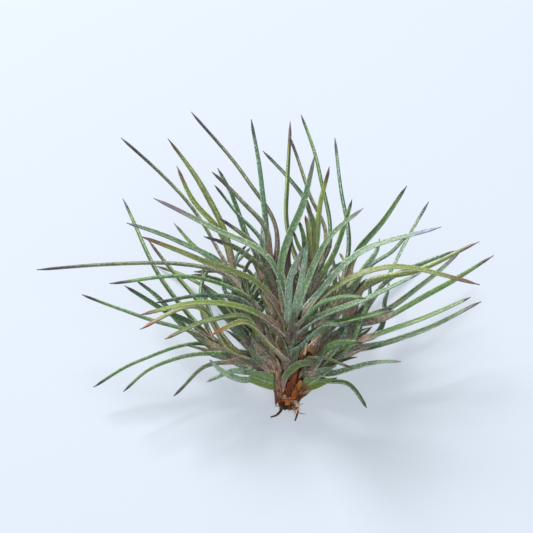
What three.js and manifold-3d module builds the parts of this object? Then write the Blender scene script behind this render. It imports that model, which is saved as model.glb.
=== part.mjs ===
// Air plant, Tillandsia bandensis: a clump of leafy shoots on one branched woody stem, lying on a
// surface with the stem's broken end at the front and the leaves fanned up and back.
// Millimetres, +Z up. The origin is on the flat spot that the stem's end rests on.
//
// The plant is built in its own frame: x to the right, y along the growth axis from the broken end,
// z out of the front of the fan. The whole frame leans back, so that y rises LEAN off the surface.

import * as THREE from 'three';
import { mergeVertices } from 'three/addons/utils/BufferGeometryUtils.js';
import Module from 'manifold-3d';

const { MathUtils, Vector3 } = THREE;

// Pose on the surface
const LEAN = MathUtils.degToRad(37);
const STEM_HEIGHT = 2.0;
const FLOOR_CLEARANCE = 0.4;

// Blades: half widths at the root, sheath, blade and tip, where along the leaf the sheath and the
// full blade are, half the thickness in the middle, and the channel's depth by half width
const ROOT_HALF_WIDTH = 0.8;
const SHEATH_HALF_WIDTH = 1.5;
const BLADE_HALF_WIDTH = 0.84;
const TIP_HALF_WIDTH = 0.32;
const SHEATH_AT = 0.1;
const BLADE_AT = 0.32;
const TAPER_POWER = 2;
const HALF_THICKNESS = 0.33;
const CHANNEL = 0.38;

// A shoot's core, from its seat on the stem to its crown
const CORE_RADII = [1.25, 1.8, 1.75, 1.1];
const CORE_ROOM = 2.0;
const CORE_SIDES = 6;

// Woody stem: a stump with a broken end, an arm to each shoot, wiry roots
const STEM_FORK = new Vector3(0, 4, 0);
const STUMP_END = new Vector3(0, -2.6, 0);
const STUMP_RADII = [2.1, 2.4, 2.3, 1.9];
const STUMP_SIDES = 12;
const ARM_RADII = [1.3, 1.2];
const ROOT_RADII = [0.7, 0.5, 0.42, 0.36];
const ROOT_HEIGHT = 0.75;
const ROOT_SIDES = 5;
const SEAT_GAP = 0.3;

// Dead sheaths: a collar round the stump and short papery blades that stand out of it
const COLLAR_WALL = 0.75;
const COLLAR_MOUTH_WALL = 0.9;
const COLLAR_FROM = -0.8;
const COLLAR_TO = 3.4;
const COLLAR_RADIUS = STUMP_RADII[1] + SEAT_GAP;
const COLLAR_SIDES = 14;
const DEAD_HALF_WIDTH = 1.7;
const DEAD_ARCH = 0.12;
const DEAD_RINGS = 5;

// Points along a leaf's centre line, of which every third carries a ring of the blade
const SAMPLES = 25;
const RING_STEP = 3;
const MERGE_DISTANCE = 1e-4;

// Leaves are bent apart in steps until this gap is between two shoots, counted from this share of
// a blade's half width. Near their roots leaves stay as they are, and leaves of one shoot may
// overlap over the first part of their length. Each step pushes a little more than is lacking.
const BEND_STEPS = 120;
const LEAF_GAP = 1.3;
const ROOM_SHARE = 0.9;
const PUSH_GAIN = 1.4;
const LEAST_SLOPE = 0.4;
const HALF_MOST_ROOM = 2.5;
const SMOOTHING_PASSES = 12;
const ROOTED = 0.12;
const HELD = Math.ceil(ROOTED * SAMPLES);
const SAME_SHOOT_FREE = 0.4;

// A filler leaf is left out where it still lacks more than this of the gap, or has a sharper bend
const CROWDED = 0.2;
const SHARPEST_BEND = MathUtils.degToRad(26);

// Leaves that the front doesn't show are placed by rule: a golden-angle spiral with seeded draws
const GOLDEN_ANGLE = MathUtils.degToRad(137.5);
const FILLER_SEED = 108;
const FILLER_TURN = [-25, 25];
const FILLER_START = [0.35, 0.95];
const FILLER_LENGTH = [30, 50];
const FILLER_SPREAD = [18, 74];
const FILLER_PASSES = [0.35, 0.7];
const FILLER_ARCH = 0.16;
const FILLER_TIP_HEIGHT = 2;
const OUTLINE_HALF_WIDTH = 38;
const OUTLINE_HEIGHT = 46;

// Leaves of the back that end among the tips that show above the crown are made shorter
const TUCKED_HALF_WIDTH = 18;
const TUCKED_ABOVE = 34;
const TUCKED_POINTS = 15;

// Every shoot: where its axis ends (crown), how far along the way there from the fork it starts
// (from), how wide its blades are, and its leaves as they show from the front. A leaf's numbers
// are: where along the axis it leaves, x and y of two points that it passes, x, y and z of its tip.
// A tip with no z lies on the surface. Filler leaves keep their tips behind the depth given.
const SHOOTS = [
  {
    name: 'shoot_front', crown: [1, 21, 13], from: 0.16, width: 1.2, filler: 0, behind: 18,
    leaves: [
      [0.80, -1.8, 33.5, 3.8, 50.0, 6.5, 62.0, 17],
      [0.75, 5.8, 31.8, 10.9, 41.4, 18.7, 48.5, 22],
      [0.75, 0.1, 25.4, 0.8, 31.0, 3.8, 38.6, 38],
      [0.70, 2.3, 24.1, 3.9, 33.0, 4.6, 39.9, 33],
      [0.50, 6.1, 19.8, 20.3, 25.9, 33.0, 32.5, 26],
      [0.65, -7.6, 29.2, -22.4, 35.3, -37.3, 41.7, 15],
      [0.55, -9.7, 22.6, -22.4, 24.6, -37.1, 21.8, 21],
      [0.85, -5.1, 35.6, -18.5, 43.2, -33.8, 51.0, 17],
      [0.60, 7.6, 26.4, 18.3, 37.1, 38.4, 43.9, 14],
      [0.65, 11.2, 27.9, 25.9, 33.5, 48.0, 29.3, 17],
      [0.35, 6.1, 17.0, 16.3, 20.6, 26.4, 22.9, 22],
      [0.70, 8.1, 24.4, 13.2, 26.0, 19.0, 25.9, 30],
      [0.25, 5.6, 16.0, 9.4, 19.0, 14.5, 19.3, 28],
      [0.60, 1.2, 27.0, -0.2, 36.0, 0.9, 43.0, 9],
      [0.10, -5.1, 14.5, -10.9, 19.7, -19.3, 16.8, 25],
    ],
  },
  {
    name: 'shoot_left_front', crown: [-9, 14, 7], from: 0.38, width: 1.15, filler: 0, behind: 8,
    leaves: [
      [0.50, -10.5, 15.5, -15.5, 22.0, -21.8, 29.7, 10],
      [0.80, -10.2, 20.8, -20.6, 19.8, -31.0, 15.7, 14],
      [0.25, -15.0, 12.8, -23.0, 23.5, -37.3, 18.0, 12],
    ],
  },
  {
    name: 'shoot_left_low', crown: [-20, 14, 1], from: 0.3, width: 1, filler: 2, behind: -2,
    leaves: [
      [0.90, -22.4, 16.3, -37.6, 21.1, -52.3, 26.8, 2],
      [0.55, -22.4, 14.2, -37.6, 10.0, -49.3, 3.3, 3],
      [0.40, -21.1, 11.6, -33.8, 8.5, -41.5, 2.3, 9],
      [0.25, -14.7, 9.4, -20.8, 8.4, -28.8, 1.3, 12],
      [0.10, -9.7, 6.9, -14.2, 7.1, -20.3, 5.0, 14],
      [0.05, -9.7, 5.0, -15.8, 6.9, -19.6, 10.7, 18],
      [0.85, -22.4, 18.5, -32.5, 23.4, -41.7, 29.0, -6],
      [0.75, -26.2, 18.8, -32.5, 25.4, -39.1, 30.5, -12],
      [0.60, -22.4, 18.8, -32.5, 31.5, -42.4, 51.3, -14],
      [0.20, -14.7, 14.5, -23.6, 26.2, -35.6, 40.6, -4],
    ],
  },
  {
    name: 'shoot_left_mid', crown: [-12, 26, 3], from: 0.36, width: 1.08, filler: 2, behind: 0,
    leaves: [
      [0.70, -15.2, 31.0, -28.7, 34.5, -63.8, 33.1, 1],
      [0.45, -9.7, 24.9, -22.4, 30.9, -45.0, 29.7, 11],
      [0.55, -12.7, 25.4, -21.6, 26.3, -33.3, 24.9, 15],
      [0.85, -16.8, 34.3, -27.4, 39.8, -41.1, 45.0, -5],
    ],
  },
  {
    name: 'shoot_left_high', crown: [-14, 31, -4], from: 0.36, width: 1, filler: 4, behind: -8,
    leaves: [
      [0.80, -16.8, 36.0, -25.4, 50.0, -42.7, 66.9, -10],
      [0.90, -15.7, 42.2, -21.6, 54.1, -30.7, 66.5, -4],
      [0.85, -16.8, 41.9, -24.1, 51.0, -28.6, 59.7, -14],
      [0.40, -18.5, 34.3, -23.6, 38.6, -29.2, 45.0, -18],
    ],
  },
  {
    name: 'shoot_top_left', crown: [-6, 34, -2], from: 0.36, width: 1, filler: 2, behind: -6,
    leaves: [
      [0.70, -3.3, 43.7, -10.9, 56.4, -24.6, 73.5, -8],
      [0.80, -5.1, 43.2, -6.6, 55.4, -9.3, 71.4, 0],
      [0.75, -5.6, 42.4, -11.7, 50.3, -19.3, 57.9, 3],
      [0.90, -10.9, 41.9, -14.5, 52.3, -18.0, 59.2, -13],
      [0.85, -6.4, 39.4, -13.0, 47.5, -18.8, 54.6, -5],
      [0.60, -6.6, 36.8, -10.4, 40.9, -17.5, 46.0, 12],
      [0.30, -4.6, 30.0, -12.2, 38.1, -21.3, 41.4, 11],
    ],
  },
  {
    name: 'shoot_top', crown: [7, 35, 0], from: 0.36, width: 1, filler: 2, behind: -6,
    leaves: [
      [0.55, -0.5, 44.5, -0.3, 55.9, 0.5, 71.0, -8],
      [0.75, 9.4, 41.9, 5.3, 52.6, 0.3, 67.3, -2],
      [0.80, 5.1, 48.3, 0.5, 55.9, -6.4, 63.5, -12],
      [0.85, 10.4, 40.6, 7.6, 58.9, 3.4, 72.6, -4],
      [0.80, 7.4, 43.2, 8.4, 52.0, 10.3, 59.2, 5],
      [0.55, 12.4, 38.1, 15.0, 47.0, 15.9, 50.8, 12],
      [0.90, 5.3, 37.6, 5.1, 42.4, 4.1, 46.7, 22],
      [0.95, 6.6, 36.0, 6.1, 45.2, 4.6, 49.0, 17],
      [0.45, 3.6, 36.6, 2.5, 38.9, 1.0, 43.0, 20],
      [0.85, 4.3, 36.0, 3.6, 41.0, 2.8, 45.5, 10],
    ],
  },
  {
    name: 'shoot_right_high', crown: [16, 29, 2], from: 0.38, width: 1, filler: 2, behind: -2,
    leaves: [
      [0.75, 17.0, 36.8, 24.6, 46.2, 30.5, 54.4, -4],
      [0.50, 15.2, 38.9, 13.5, 53.3, 11.9, 66.8, -7],
      [0.85, 21.0, 33.8, 26.4, 37.6, 30.7, 42.2, 2],
      [0.90, 19.3, 33.5, 22.4, 37.6, 23.1, 40.9, 9],
    ],
  },
  {
    name: 'shoot_right_mid', crown: [20, 22, -6], from: 0.36, width: 1, filler: 3, behind: -10,
    leaves: [
      [0.55, 23.4, 27.9, 30.0, 40.1, 36.3, 50.5, -15],
      [0.85, 25.9, 30.5, 34.8, 34.5, 43.4, 38.0, -9],
      [0.60, 19.6, 29.0, 33.5, 33.1, 48.5, 40.0, 4],
      [0.75, 26.4, 23.1, 34.8, 29.2, 44.7, 37.8, -21],
      [0.70, 24.1, 20.3, 38.6, 28.4, 52.2, 36.6, 3],
    ],
  },
  {
    name: 'shoot_right_low', crown: [17, 14, 3], from: 0.34, width: 1, filler: 2, behind: -2,
    leaves: [
      [0.85, 20.8, 15.7, 34.8, 20.8, 46.2, 26.2, 3],
      [0.75, 20.8, 13.2, 36.6, 18.5, 49.3, 24.8, -3],
      [0.50, 14.7, 13.7, 16.8, 17.3, 18.3, 20.3, 15],
      [0.70, 16.3, 16.0, 18.5, 21.3, 20.3, 25.4, 8],
    ],
  },
  {
    name: 'shoot_right_front', crown: [8, 9, 8], from: 0.5, width: 1, filler: 0, behind: 6,
    leaves: [
      [0.10, 9.0, 4.9, 15.2, 3.9, 19.8, -1.8, 8],
      [0.40, 10.7, 6.6, 20.8, 9.5, 28.4, 9.9, 12],
      [0.85, 11.2, 12.2, 13.7, 16.5, 15.2, 19.8, 20],
      [0.75, 9.5, 13.0, 14.5, 14.9, 18.5, 15.0, 24],
      [0.40, 5.6, 10.2, 9.6, 10.6, 15.5, 8.7, 18],
    ],
  },
  {
    name: 'shoot_back_left', crown: [-13, 19, -10], from: 0.4, width: 1, filler: 13, behind: -8,
    leaves: [[0.55, -17.0, 25.0, -26.0, 31.0, -34.0, 34.0]],
  },
  {
    name: 'shoot_back_right', crown: [11, 22, -12], from: 0.4, width: 1, filler: 13, behind: -8,
    leaves: [[0.55, 17.0, 26.0, 26.0, 31.0, 34.0, 33.0]],
  },
  {
    name: 'shoot_back', crown: [1, 30, -13], from: 0.4, width: 1, filler: 13, behind: -10,
    leaves: [],
  },
];

// Dead sheaths: the turn about the stem from the front in degrees, where they start along it, how
// long they are and how far they spread from it
const DEAD_SHEATHS = [
  [-32, 1.2, 9.5, 14], [10, 0.2, 5.0, 12], [62, 0.2, 6.0, 40], [100, 0.4, 5.5, 22],
  [150, 1.0, 6.5, 22], [205, 0.8, 6.5, 22], [250, 0.4, 5.5, 22], [300, 0.2, 5.0, 18],
];

// Roots: their points in x and y, lying on the surface past the first
const ROOTS = [
  [[1.2, 0.2], [2.4, -1.9], [2.3, -3.6], [1.8, -5.2]],
  [[-1.0, -0.5], [-1.8, -2.6], [-2.9, -3.8], [-4.4, -4.3]],
];

// Hollows that are broken out of the stump's end: middles and radii
const HOLLOWS = [[-0.7, -2.9, 0.8, 1.0], [0.9, -2.8, -0.3, 0.8]];

const STEM_COLOUR = 0x4b3326;
const DEAD_COLOUR = 0x9a6236;
const SHOOT_COLOURS = [0x8fa58b, 0x7d9270, 0x76885a, 0x6f8560];

const between = ([low, high]) => low + (high - low) * MathUtils.seededRandom();

// Depth (z) at which a point of the plant's frame is a given height above the surface
function depthAtHeight(y, height) {
  return (height - STEM_HEIGHT - y * Math.sin(LEAN)) / Math.cos(LEAN);
}

function bladeHalfWidth(along) {
  if (along < SHEATH_AT) return MathUtils.lerp(ROOT_HALF_WIDTH, SHEATH_HALF_WIDTH, along / SHEATH_AT);
  if (along < BLADE_AT) {
    const ease = MathUtils.smoothstep(along, SHEATH_AT, BLADE_AT);
    return MathUtils.lerp(SHEATH_HALF_WIDTH, BLADE_HALF_WIDTH, ease);
  }
  const taper = Math.pow((along - BLADE_AT) / (1 - BLADE_AT), TAPER_POWER);
  return MathUtils.lerp(BLADE_HALF_WIDTH, TIP_HALF_WIDTH, taper);
}

// A shoot's axis runs straight from its seat on the stem to its crown
function shootAxis(shoot) {
  const crown = new Vector3(...shoot.crown);
  const base = STEM_FORK.clone().lerp(crown, shoot.from);
  return { base, crown, direction: crown.clone().sub(base).normalize() };
}

function centreLine(root, bend, reach, tip) {
  return new THREE.CatmullRomCurve3([root, bend, reach, tip]).getSpacedPoints(SAMPLES - 1);
}

// A leaf that shows from the front. Its depth changes evenly with the way that it goes in x and y.
function seenLeaf(shoot, axis, [start, bendX, bendY, reachX, reachY, tipX, tipY, tipZ]) {
  const root = axis.base.clone().lerp(axis.crown, start);
  const onSurface = tipZ === undefined;
  const end = onSurface ? depthAtHeight(tipY, TIP_HALF_WIDTH) : tipZ;
  const ways = [
    Math.hypot(bendX - root.x, bendY - root.y),
    Math.hypot(reachX - bendX, reachY - bendY),
    Math.hypot(tipX - reachX, tipY - reachY),
  ];
  const whole = ways[0] + ways[1] + ways[2];
  const bend = new Vector3(bendX, bendY, MathUtils.lerp(root.z, end, ways[0] / whole));
  const reach = new Vector3(reachX, reachY, MathUtils.lerp(root.z, end, 1 - ways[2] / whole));
  const points = centreLine(root, bend, reach, new Vector3(tipX, tipY, end));
  return { shoot: shoot.name, axis, points, width: shoot.width, seen: true, fixed: onSurface };
}

// A leaf of the golden-angle spiral, or nothing where its tip would show beyond the clump's
// outline or lie under the surface
function fillerLeaf(shoot, axis, index) {
  const side = new Vector3(0, 0, 1).cross(axis.direction).normalize();
  const out = axis.direction.clone().cross(side);
  const turn = index * GOLDEN_ANGLE + MathUtils.degToRad(between(FILLER_TURN));
  const start = between(FILLER_START);
  const spread = MathUtils.degToRad(between(FILLER_SPREAD));
  const length = between(FILLER_LENGTH);
  const aim = axis.direction.clone().multiplyScalar(Math.cos(spread));
  aim.addScaledVector(side, Math.sin(spread) * Math.cos(turn));
  aim.addScaledVector(out, Math.sin(spread) * Math.sin(turn));
  const root = axis.base.clone().lerp(axis.crown, start);
  const lift = FILLER_ARCH * length * Math.sin(spread);
  const passed = (along) => {
    const point = root.clone().addScaledVector(aim, along * length);
    return point.addScaledVector(axis.direction, 4 * along * (1 - along) * lift);
  };
  const tip = passed(1);
  const outline = Math.hypot(tip.x / OUTLINE_HALF_WIDTH, tip.y / OUTLINE_HEIGHT);
  const sunk = tip.z < depthAtHeight(tip.y, FILLER_TIP_HEIGHT);
  if (outline > 1 || tip.z > shoot.behind || sunk) return null;
  const points = centreLine(root, ...FILLER_PASSES.map(passed), tip);
  return { shoot: shoot.name, axis, points, width: shoot.width, seen: false, fixed: false };
}

function growLeaves(axes) {
  MathUtils.seededRandom(FILLER_SEED);
  const leaves = [];
  for (const shoot of SHOOTS) {
    const axis = axes.get(shoot.name);
    for (const row of shoot.leaves) leaves.push(seenLeaf(shoot, axis, row));
    let grown = 0;
    for (let index = 0; grown < shoot.filler; index++) {
      const leaf = fillerLeaf(shoot, axis, index);
      if (leaf === null) continue;
      leaves.push(leaf);
      grown++;
    }
  }
  return leaves;
}

// Room that a leaf, or a shoot's core with its arm of the stem, takes up about each of its points
function roomAt(strand, index) {
  if (strand.core) return CORE_ROOM;
  return ROOM_SHARE * strand.width * bladeHalfWidth(index / (SAMPLES - 1));
}

function coreStrand(shoot, axis) {
  const points = [];
  for (let i = 0; i < SAMPLES; i++) {
    points.push(STEM_FORK.clone().lerp(axis.crown, i / (SAMPLES - 1)));
  }
  return { shoot: shoot.name, points, core: true, fixed: true, seen: false };
}

// Bends leaves apart. A leaf seen from the front only moves in depth, so that view stays the same.
function bendApart(strands) {
  const pushes = strands.map(() => Array.from({ length: SAMPLES }, () => new Vector3()));
  for (let step = 0; step < BEND_STEPS; step++) {
    for (const [index, strand] of strands.entries()) {
      pushes[index].forEach((push) => push.set(0, 0, 0));
      strand.box = new THREE.Box3().setFromPoints(strand.points).expandByScalar(HALF_MOST_ROOM);
    }
    for (let a = 0; a < strands.length; a++) {
      for (let b = a + 1; b < strands.length; b++) pushPair(strands[a], strands[b], pushes[a], pushes[b]);
    }
    for (const [index, strand] of strands.entries()) {
      if (!strand.fixed) movePoints(strand, pushes[index]);
    }
  }
}

// What two strands lack in room, at each pair of their points, is shared as pushes to both
function pushPair(a, b, pushesA, pushesB) {
  const related = a.shoot === b.shoot;
  if (a.core && b.core) return;
  if (related && (a.core || b.core)) return;
  if (!a.box.intersectsBox(b.box)) return;
  const apart = new Vector3();
  const first = related ? Math.ceil(SAME_SHOOT_FREE * SAMPLES) : 0;
  for (let i = first; i < SAMPLES; i++) {
    const roomA = roomAt(a, i) + LEAF_GAP;
    if (b.box.distanceToPoint(a.points[i]) > roomA) continue;
    for (let j = first; j < SAMPLES; j++) {
      const room = roomA + roomAt(b, j);
      apart.subVectors(a.points[i], b.points[j]);
      if (Math.abs(apart.x) > room || Math.abs(apart.y) > room || Math.abs(apart.z) > room) continue;
      const distance = Math.max(apart.length(), 1e-6);
      if (distance >= room) continue;
      if (i >= HELD) shove(a, pushesA[i], apart, distance, room - distance, 1, b.fixed);
      if (j >= HELD) shove(b, pushesB[j], apart, distance, room - distance, -1, a.fixed);
    }
  }
}

function shove(strand, push, apart, distance, lack, sign, otherFixed) {
  const share = otherFixed ? lack : 0.5 * lack;
  if (strand.seen) {
    const direction = apart.z * sign >= 0 ? 1 : -1;
    const move = (direction * share) / Math.max(Math.abs(apart.z) / distance, LEAST_SLOPE);
    if (Math.abs(move) > Math.abs(push.z)) push.z = move;
  } else if (share > push.length()) {
    push.copy(apart).multiplyScalar((sign * share) / distance);
  }
}

// Spreads the pushes along the leaf, keeps its root where it is and its points above the surface
function movePoints(strand, pushes) {
  for (let pass = 0; pass < SMOOTHING_PASSES; pass++) {
    const before = pushes.map((push) => push.clone());
    for (let i = 0; i < SAMPLES; i++) {
      pushes[i].multiplyScalar(2).add(before[Math.max(i - 1, 0)]);
      pushes[i].add(before[Math.min(i + 1, SAMPLES - 1)]).divideScalar(4);
    }
  }
  for (let i = 0; i < SAMPLES; i++) {
    const hold = MathUtils.smoothstep(i / (SAMPLES - 1), 0, 2 * ROOTED);
    const point = strand.points[i];
    point.addScaledVector(pushes[i], PUSH_GAIN * hold);
    point.z = Math.max(point.z, depthAtHeight(point.y, FLOOR_CLEARANCE + 0.5 * roomAt(strand, i)));
  }
}

function sharpestBend(points) {
  let sharpest = 0;
  for (let i = 1; i < points.length - 1; i++) {
    const before = points[i].clone().sub(points[i - 1]);
    const after = points[i + 1].clone().sub(points[i]);
    sharpest = Math.max(sharpest, before.angleTo(after));
  }
  return sharpest;
}

// A filler leaf that still has no room, or was bent too sharply, is left out
function hasRoom(leaf, strands) {
  if (leaf.seen) return true;
  if (sharpestBend(leaf.points) > SHARPEST_BEND) return false;
  for (const other of strands) {
    if (other.shoot === leaf.shoot) continue;
    for (let i = 0; i < SAMPLES; i++) {
      for (let j = 0; j < SAMPLES; j++) {
        const room = roomAt(leaf, i) + roomAt(other, j) + LEAF_GAP - CROWDED;
        if (leaf.points[i].distanceTo(other.points[j]) < room) return false;
      }
    }
  }
  return true;
}

// Draws a leaf shorter where its tip would show among those above the crown
function tuckIn(leaf) {
  const tip = leaf.points.at(-1);
  if (leaf.seen || Math.abs(tip.x) > TUCKED_HALF_WIDTH || tip.y < TUCKED_ABOVE) return;
  const kept = new THREE.CatmullRomCurve3(leaf.points.slice(0, TUCKED_POINTS));
  leaf.points = kept.getSpacedPoints(SAMPLES - 1);
}

// A closed surface swept along rings: a cylinder whose rows of points are laid on the rings. Each
// ring ends with the point that an end face closes on.
function sweep(rings) {
  const sides = rings[0].length - 1;
  const geometry = new THREE.CylinderGeometry(1, 1, 1, sides, rings.length - 1);
  geometry.deleteAttribute('normal');
  geometry.deleteAttribute('uv');
  const position = geometry.getAttribute('position');
  for (let i = 0; i < position.count; i++) {
    const [x, y, z] = [position.getX(i), position.getY(i), position.getZ(i)];
    const row = Math.round((0.5 - y) * (rings.length - 1));
    const turn = Math.atan2(x, z) / (2 * Math.PI);
    const column = Math.hypot(x, z) < 0.5 ? sides : Math.round((turn + 1) * sides) % sides;
    position.setXYZ(i, ...rings[row][column].toArray());
  }
  return mergeVertices(geometry, MERGE_DISTANCE);
}

// Ring of a blade: groove, edge, keel, edge. The groove faces up the axis, or in towards it.
function bladeRing(point, tangent, axisDirection, radial, halfWidth, grow) {
  const inner = axisDirection.clone().multiplyScalar(tangent.dot(radial));
  inner.addScaledVector(radial, -tangent.dot(axisDirection));
  inner.addScaledVector(tangent, -inner.dot(tangent)).normalize();
  const across = tangent.clone().cross(inner);
  const place = (x, y) => point.clone().addScaledVector(across, x).addScaledVector(inner, y);
  return [
    place(0, HALF_THICKNESS + grow),
    place(halfWidth + grow, CHANNEL * halfWidth),
    place(0, -HALF_THICKNESS - grow),
    place(-halfWidth - grow, CHANNEL * halfWidth),
    point.clone(),
  ];
}

function bladeRings({ axis, points, width }, grow = 0) {
  const last = SAMPLES - 1;
  const radial = points[last].clone().sub(points[0]);
  radial.addScaledVector(axis.direction, -radial.dot(axis.direction)).normalize();
  const rings = [];
  for (let i = 0; i <= last; i += RING_STEP) {
    const tangent = points[Math.min(i + 1, last)].clone().sub(points[Math.max(i - 1, 0)]).normalize();
    const halfWidth = width * bladeHalfWidth(i / last);
    rings.push(bladeRing(points[i], tangent, axis.direction, radial, halfWidth, grow));
  }
  return rings;
}

// Rings of a round stretch along a curve
function tubeRings(curve, radii, sides) {
  const frames = curve.computeFrenetFrames(radii.length - 1, false);
  return radii.map((radius, row) => {
    const centre = curve.getPointAt(row / (radii.length - 1));
    const ring = [];
    for (let k = 0; k < sides; k++) {
      const turn = (2 * Math.PI * k) / sides;
      const point = centre.clone().addScaledVector(frames.normals[row], radius * Math.sin(turn));
      ring.push(point.addScaledVector(frames.binormals[row], radius * Math.cos(turn)));
    }
    return [...ring, centre];
  });
}

const wasm = await Module();
wasm.setup();

// A solid of a closed surface, turned inside out first where its faces point in
function solid(geometry) {
  const triVerts = new Uint32Array(geometry.index.array);
  const vertProperties = new Float32Array(geometry.getAttribute('position').array);
  const made = new wasm.Manifold(new wasm.Mesh({ numProp: 3, vertProperties, triVerts }));
  if (made.volume() > 0) return made;
  for (let i = 0; i < triVerts.length; i += 3) {
    [triVerts[i], triVerts[i + 1]] = [triVerts[i + 1], triVerts[i]];
  }
  return new wasm.Manifold(new wasm.Mesh({ numProp: 3, vertProperties, triVerts }));
}

function plainSolid(geometry) {
  geometry.deleteAttribute('normal');
  geometry.deleteAttribute('uv');
  return solid(mergeVertices(geometry, MERGE_DISTANCE));
}

function fuse(solids) {
  return solids.reduce((sum, next) => sum.add(next));
}

// The outer body alone: hollows that fusing seals are filled and loose scraps dropped
function outerBody(manifold) {
  return manifold.decompose().reduce((best, next) => (next.volume() > best.volume() ? next : best));
}

// What lies under the surface about the stem, in the plant's frame
function underSurface() {
  const width = 60;
  const depth = 20;
  const block = new THREE.BoxGeometry(width, width, depth);
  block.translate(0, 0, -STEM_HEIGHT - depth / 2);
  block.rotateX(-LEAN);
  return plainSolid(block);
}

function stemSolid(axes, grow = 0) {
  const wider = (radii) => radii.map((radius) => radius + grow);
  const stump = new THREE.LineCurve3(STUMP_END, STEM_FORK);
  const pieces = [solid(sweep(tubeRings(stump, wider(STUMP_RADII), STUMP_SIDES)))];
  for (const axis of axes.values()) {
    const seat = axis.base.clone().addScaledVector(axis.direction, grow - SEAT_GAP);
    const arm = new THREE.LineCurve3(STEM_FORK, seat);
    pieces.push(solid(sweep(tubeRings(arm, wider(ARM_RADII), CORE_SIDES))));
  }
  for (const root of ROOTS) {
    const points = root.map(([x, y], i) => new Vector3(x, y, i && depthAtHeight(y, ROOT_HEIGHT)));
    const curve = new THREE.CatmullRomCurve3(points);
    pieces.push(solid(sweep(tubeRings(curve, wider(ROOT_RADII), ROOT_SIDES))));
  }
  return fuse(pieces);
}

function brokenStem(axes) {
  const hollows = HOLLOWS.map(([x, y, z, radius]) => {
    const hollow = new THREE.IcosahedronGeometry(radius, 0);
    hollow.translate(x, y, z);
    return plainSolid(hollow);
  });
  return outerBody(stemSolid(axes).subtract(fuse(hollows)).subtract(underSurface()));
}

// Collar and blades of the dead sheaths, clear of the stem and of the shoots that rise through them
function deadSheaths(axes, leaves) {
  const profile = [
    [COLLAR_RADIUS, COLLAR_FROM], [COLLAR_RADIUS + COLLAR_WALL, COLLAR_FROM],
    [COLLAR_RADIUS + COLLAR_MOUTH_WALL, COLLAR_TO], [COLLAR_RADIUS, COLLAR_TO],
    [COLLAR_RADIUS, COLLAR_FROM],
  ];
  const outline = profile.map(([x, y]) => new THREE.Vector2(x, y));
  const pieces = [plainSolid(new THREE.LatheGeometry(outline, COLLAR_SIDES))];
  const up = new Vector3(0, 1, 0);
  for (const [turnDegrees, start, length, spreadDegrees] of DEAD_SHEATHS) {
    const turn = MathUtils.degToRad(turnDegrees);
    const spread = MathUtils.degToRad(spreadDegrees);
    const radial = new Vector3(Math.sin(turn), 0, Math.cos(turn));
    const root = radial.clone().multiplyScalar(COLLAR_RADIUS + 0.5 * COLLAR_WALL).setY(start);
    const tip = root.clone().addScaledVector(up, length * Math.cos(spread));
    tip.addScaledVector(radial, length * Math.sin(spread));
    const middle = root.clone().lerp(tip, 0.5).addScaledVector(up, DEAD_ARCH * length);
    const curve = new THREE.QuadraticBezierCurve3(root, middle, tip);
    const rings = curve.getSpacedPoints(DEAD_RINGS - 1).map((point, row) => {
      const along = row / (DEAD_RINGS - 1);
      const halfWidth = MathUtils.lerp(DEAD_HALF_WIDTH, TIP_HALF_WIDTH, along * along);
      return bladeRing(point, curve.getTangentAt(along), up, radial, halfWidth, 0);
    });
    pieces.push(solid(sweep(rings)));
  }
  let sheaths = fuse(pieces).subtract(stemSolid(axes, SEAT_GAP)).subtract(underSurface());
  const bounds = sheaths.boundingBox();
  const box = new THREE.Box3(new Vector3(...bounds.min), new Vector3(...bounds.max));
  for (const axis of axes.values()) sheaths = sheaths.subtract(coreSolid(axis, SEAT_GAP));
  for (const leaf of leaves) {
    if (box.intersectsBox(new THREE.Box3().setFromPoints(leaf.points))) {
      sheaths = sheaths.subtract(solid(sweep(bladeRings(leaf, SEAT_GAP))));
    }
  }
  return outerBody(sheaths);
}

function coreSolid(axis, grow = 0) {
  const start = axis.base.clone().addScaledVector(axis.direction, -grow);
  const line = new THREE.LineCurve3(start, axis.crown);
  return solid(sweep(tubeRings(line, CORE_RADII.map((radius) => radius + grow), CORE_SIDES)));
}

function shootSolid(shoot, axis, leaves) {
  const blades = leaves.filter((leaf) => leaf.shoot === shoot.name);
  return outerBody(fuse([coreSolid(axis), ...blades.map((leaf) => solid(sweep(bladeRings(leaf))))]));
}

function toMesh(name, manifold, color, roughness) {
  const { vertProperties, triVerts } = manifold.getMesh();
  const geometry = new THREE.BufferGeometry();
  geometry.setAttribute('position', new THREE.BufferAttribute(new Float32Array(vertProperties), 3));
  geometry.setIndex(new THREE.BufferAttribute(new Uint32Array(triVerts), 1));
  geometry.computeVertexNormals();
  const mesh = new THREE.Mesh(geometry, new THREE.MeshStandardMaterial({ color, roughness, metalness: 0 }));
  mesh.name = name;
  return mesh;
}

const axes = new Map(SHOOTS.map((shoot) => [shoot.name, shootAxis(shoot)]));
const grown = growLeaves(axes);
const cores = SHOOTS.map((shoot) => coreStrand(shoot, axes.get(shoot.name)));
const strands = [...grown, ...cores];
bendApart(strands);
const leaves = grown.filter((leaf) => hasRoom(leaf, strands));
leaves.forEach(tuckIn);

const plant = new THREE.Group();
plant.rotation.x = LEAN;
plant.position.z = STEM_HEIGHT;
plant.add(toMesh('stem', brokenStem(axes), STEM_COLOUR, 0.9));
plant.add(toMesh('dead_sheaths', deadSheaths(axes, leaves), DEAD_COLOUR, 0.85));
SHOOTS.forEach((shoot, index) => {
  const body = shootSolid(shoot, axes.get(shoot.name), leaves);
  plant.add(toMesh(shoot.name, body, SHOOT_COLOURS[index % SHOOT_COLOURS.length], 0.7));
});

const group = new THREE.Group();
group.add(plant);
export default group;
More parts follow.
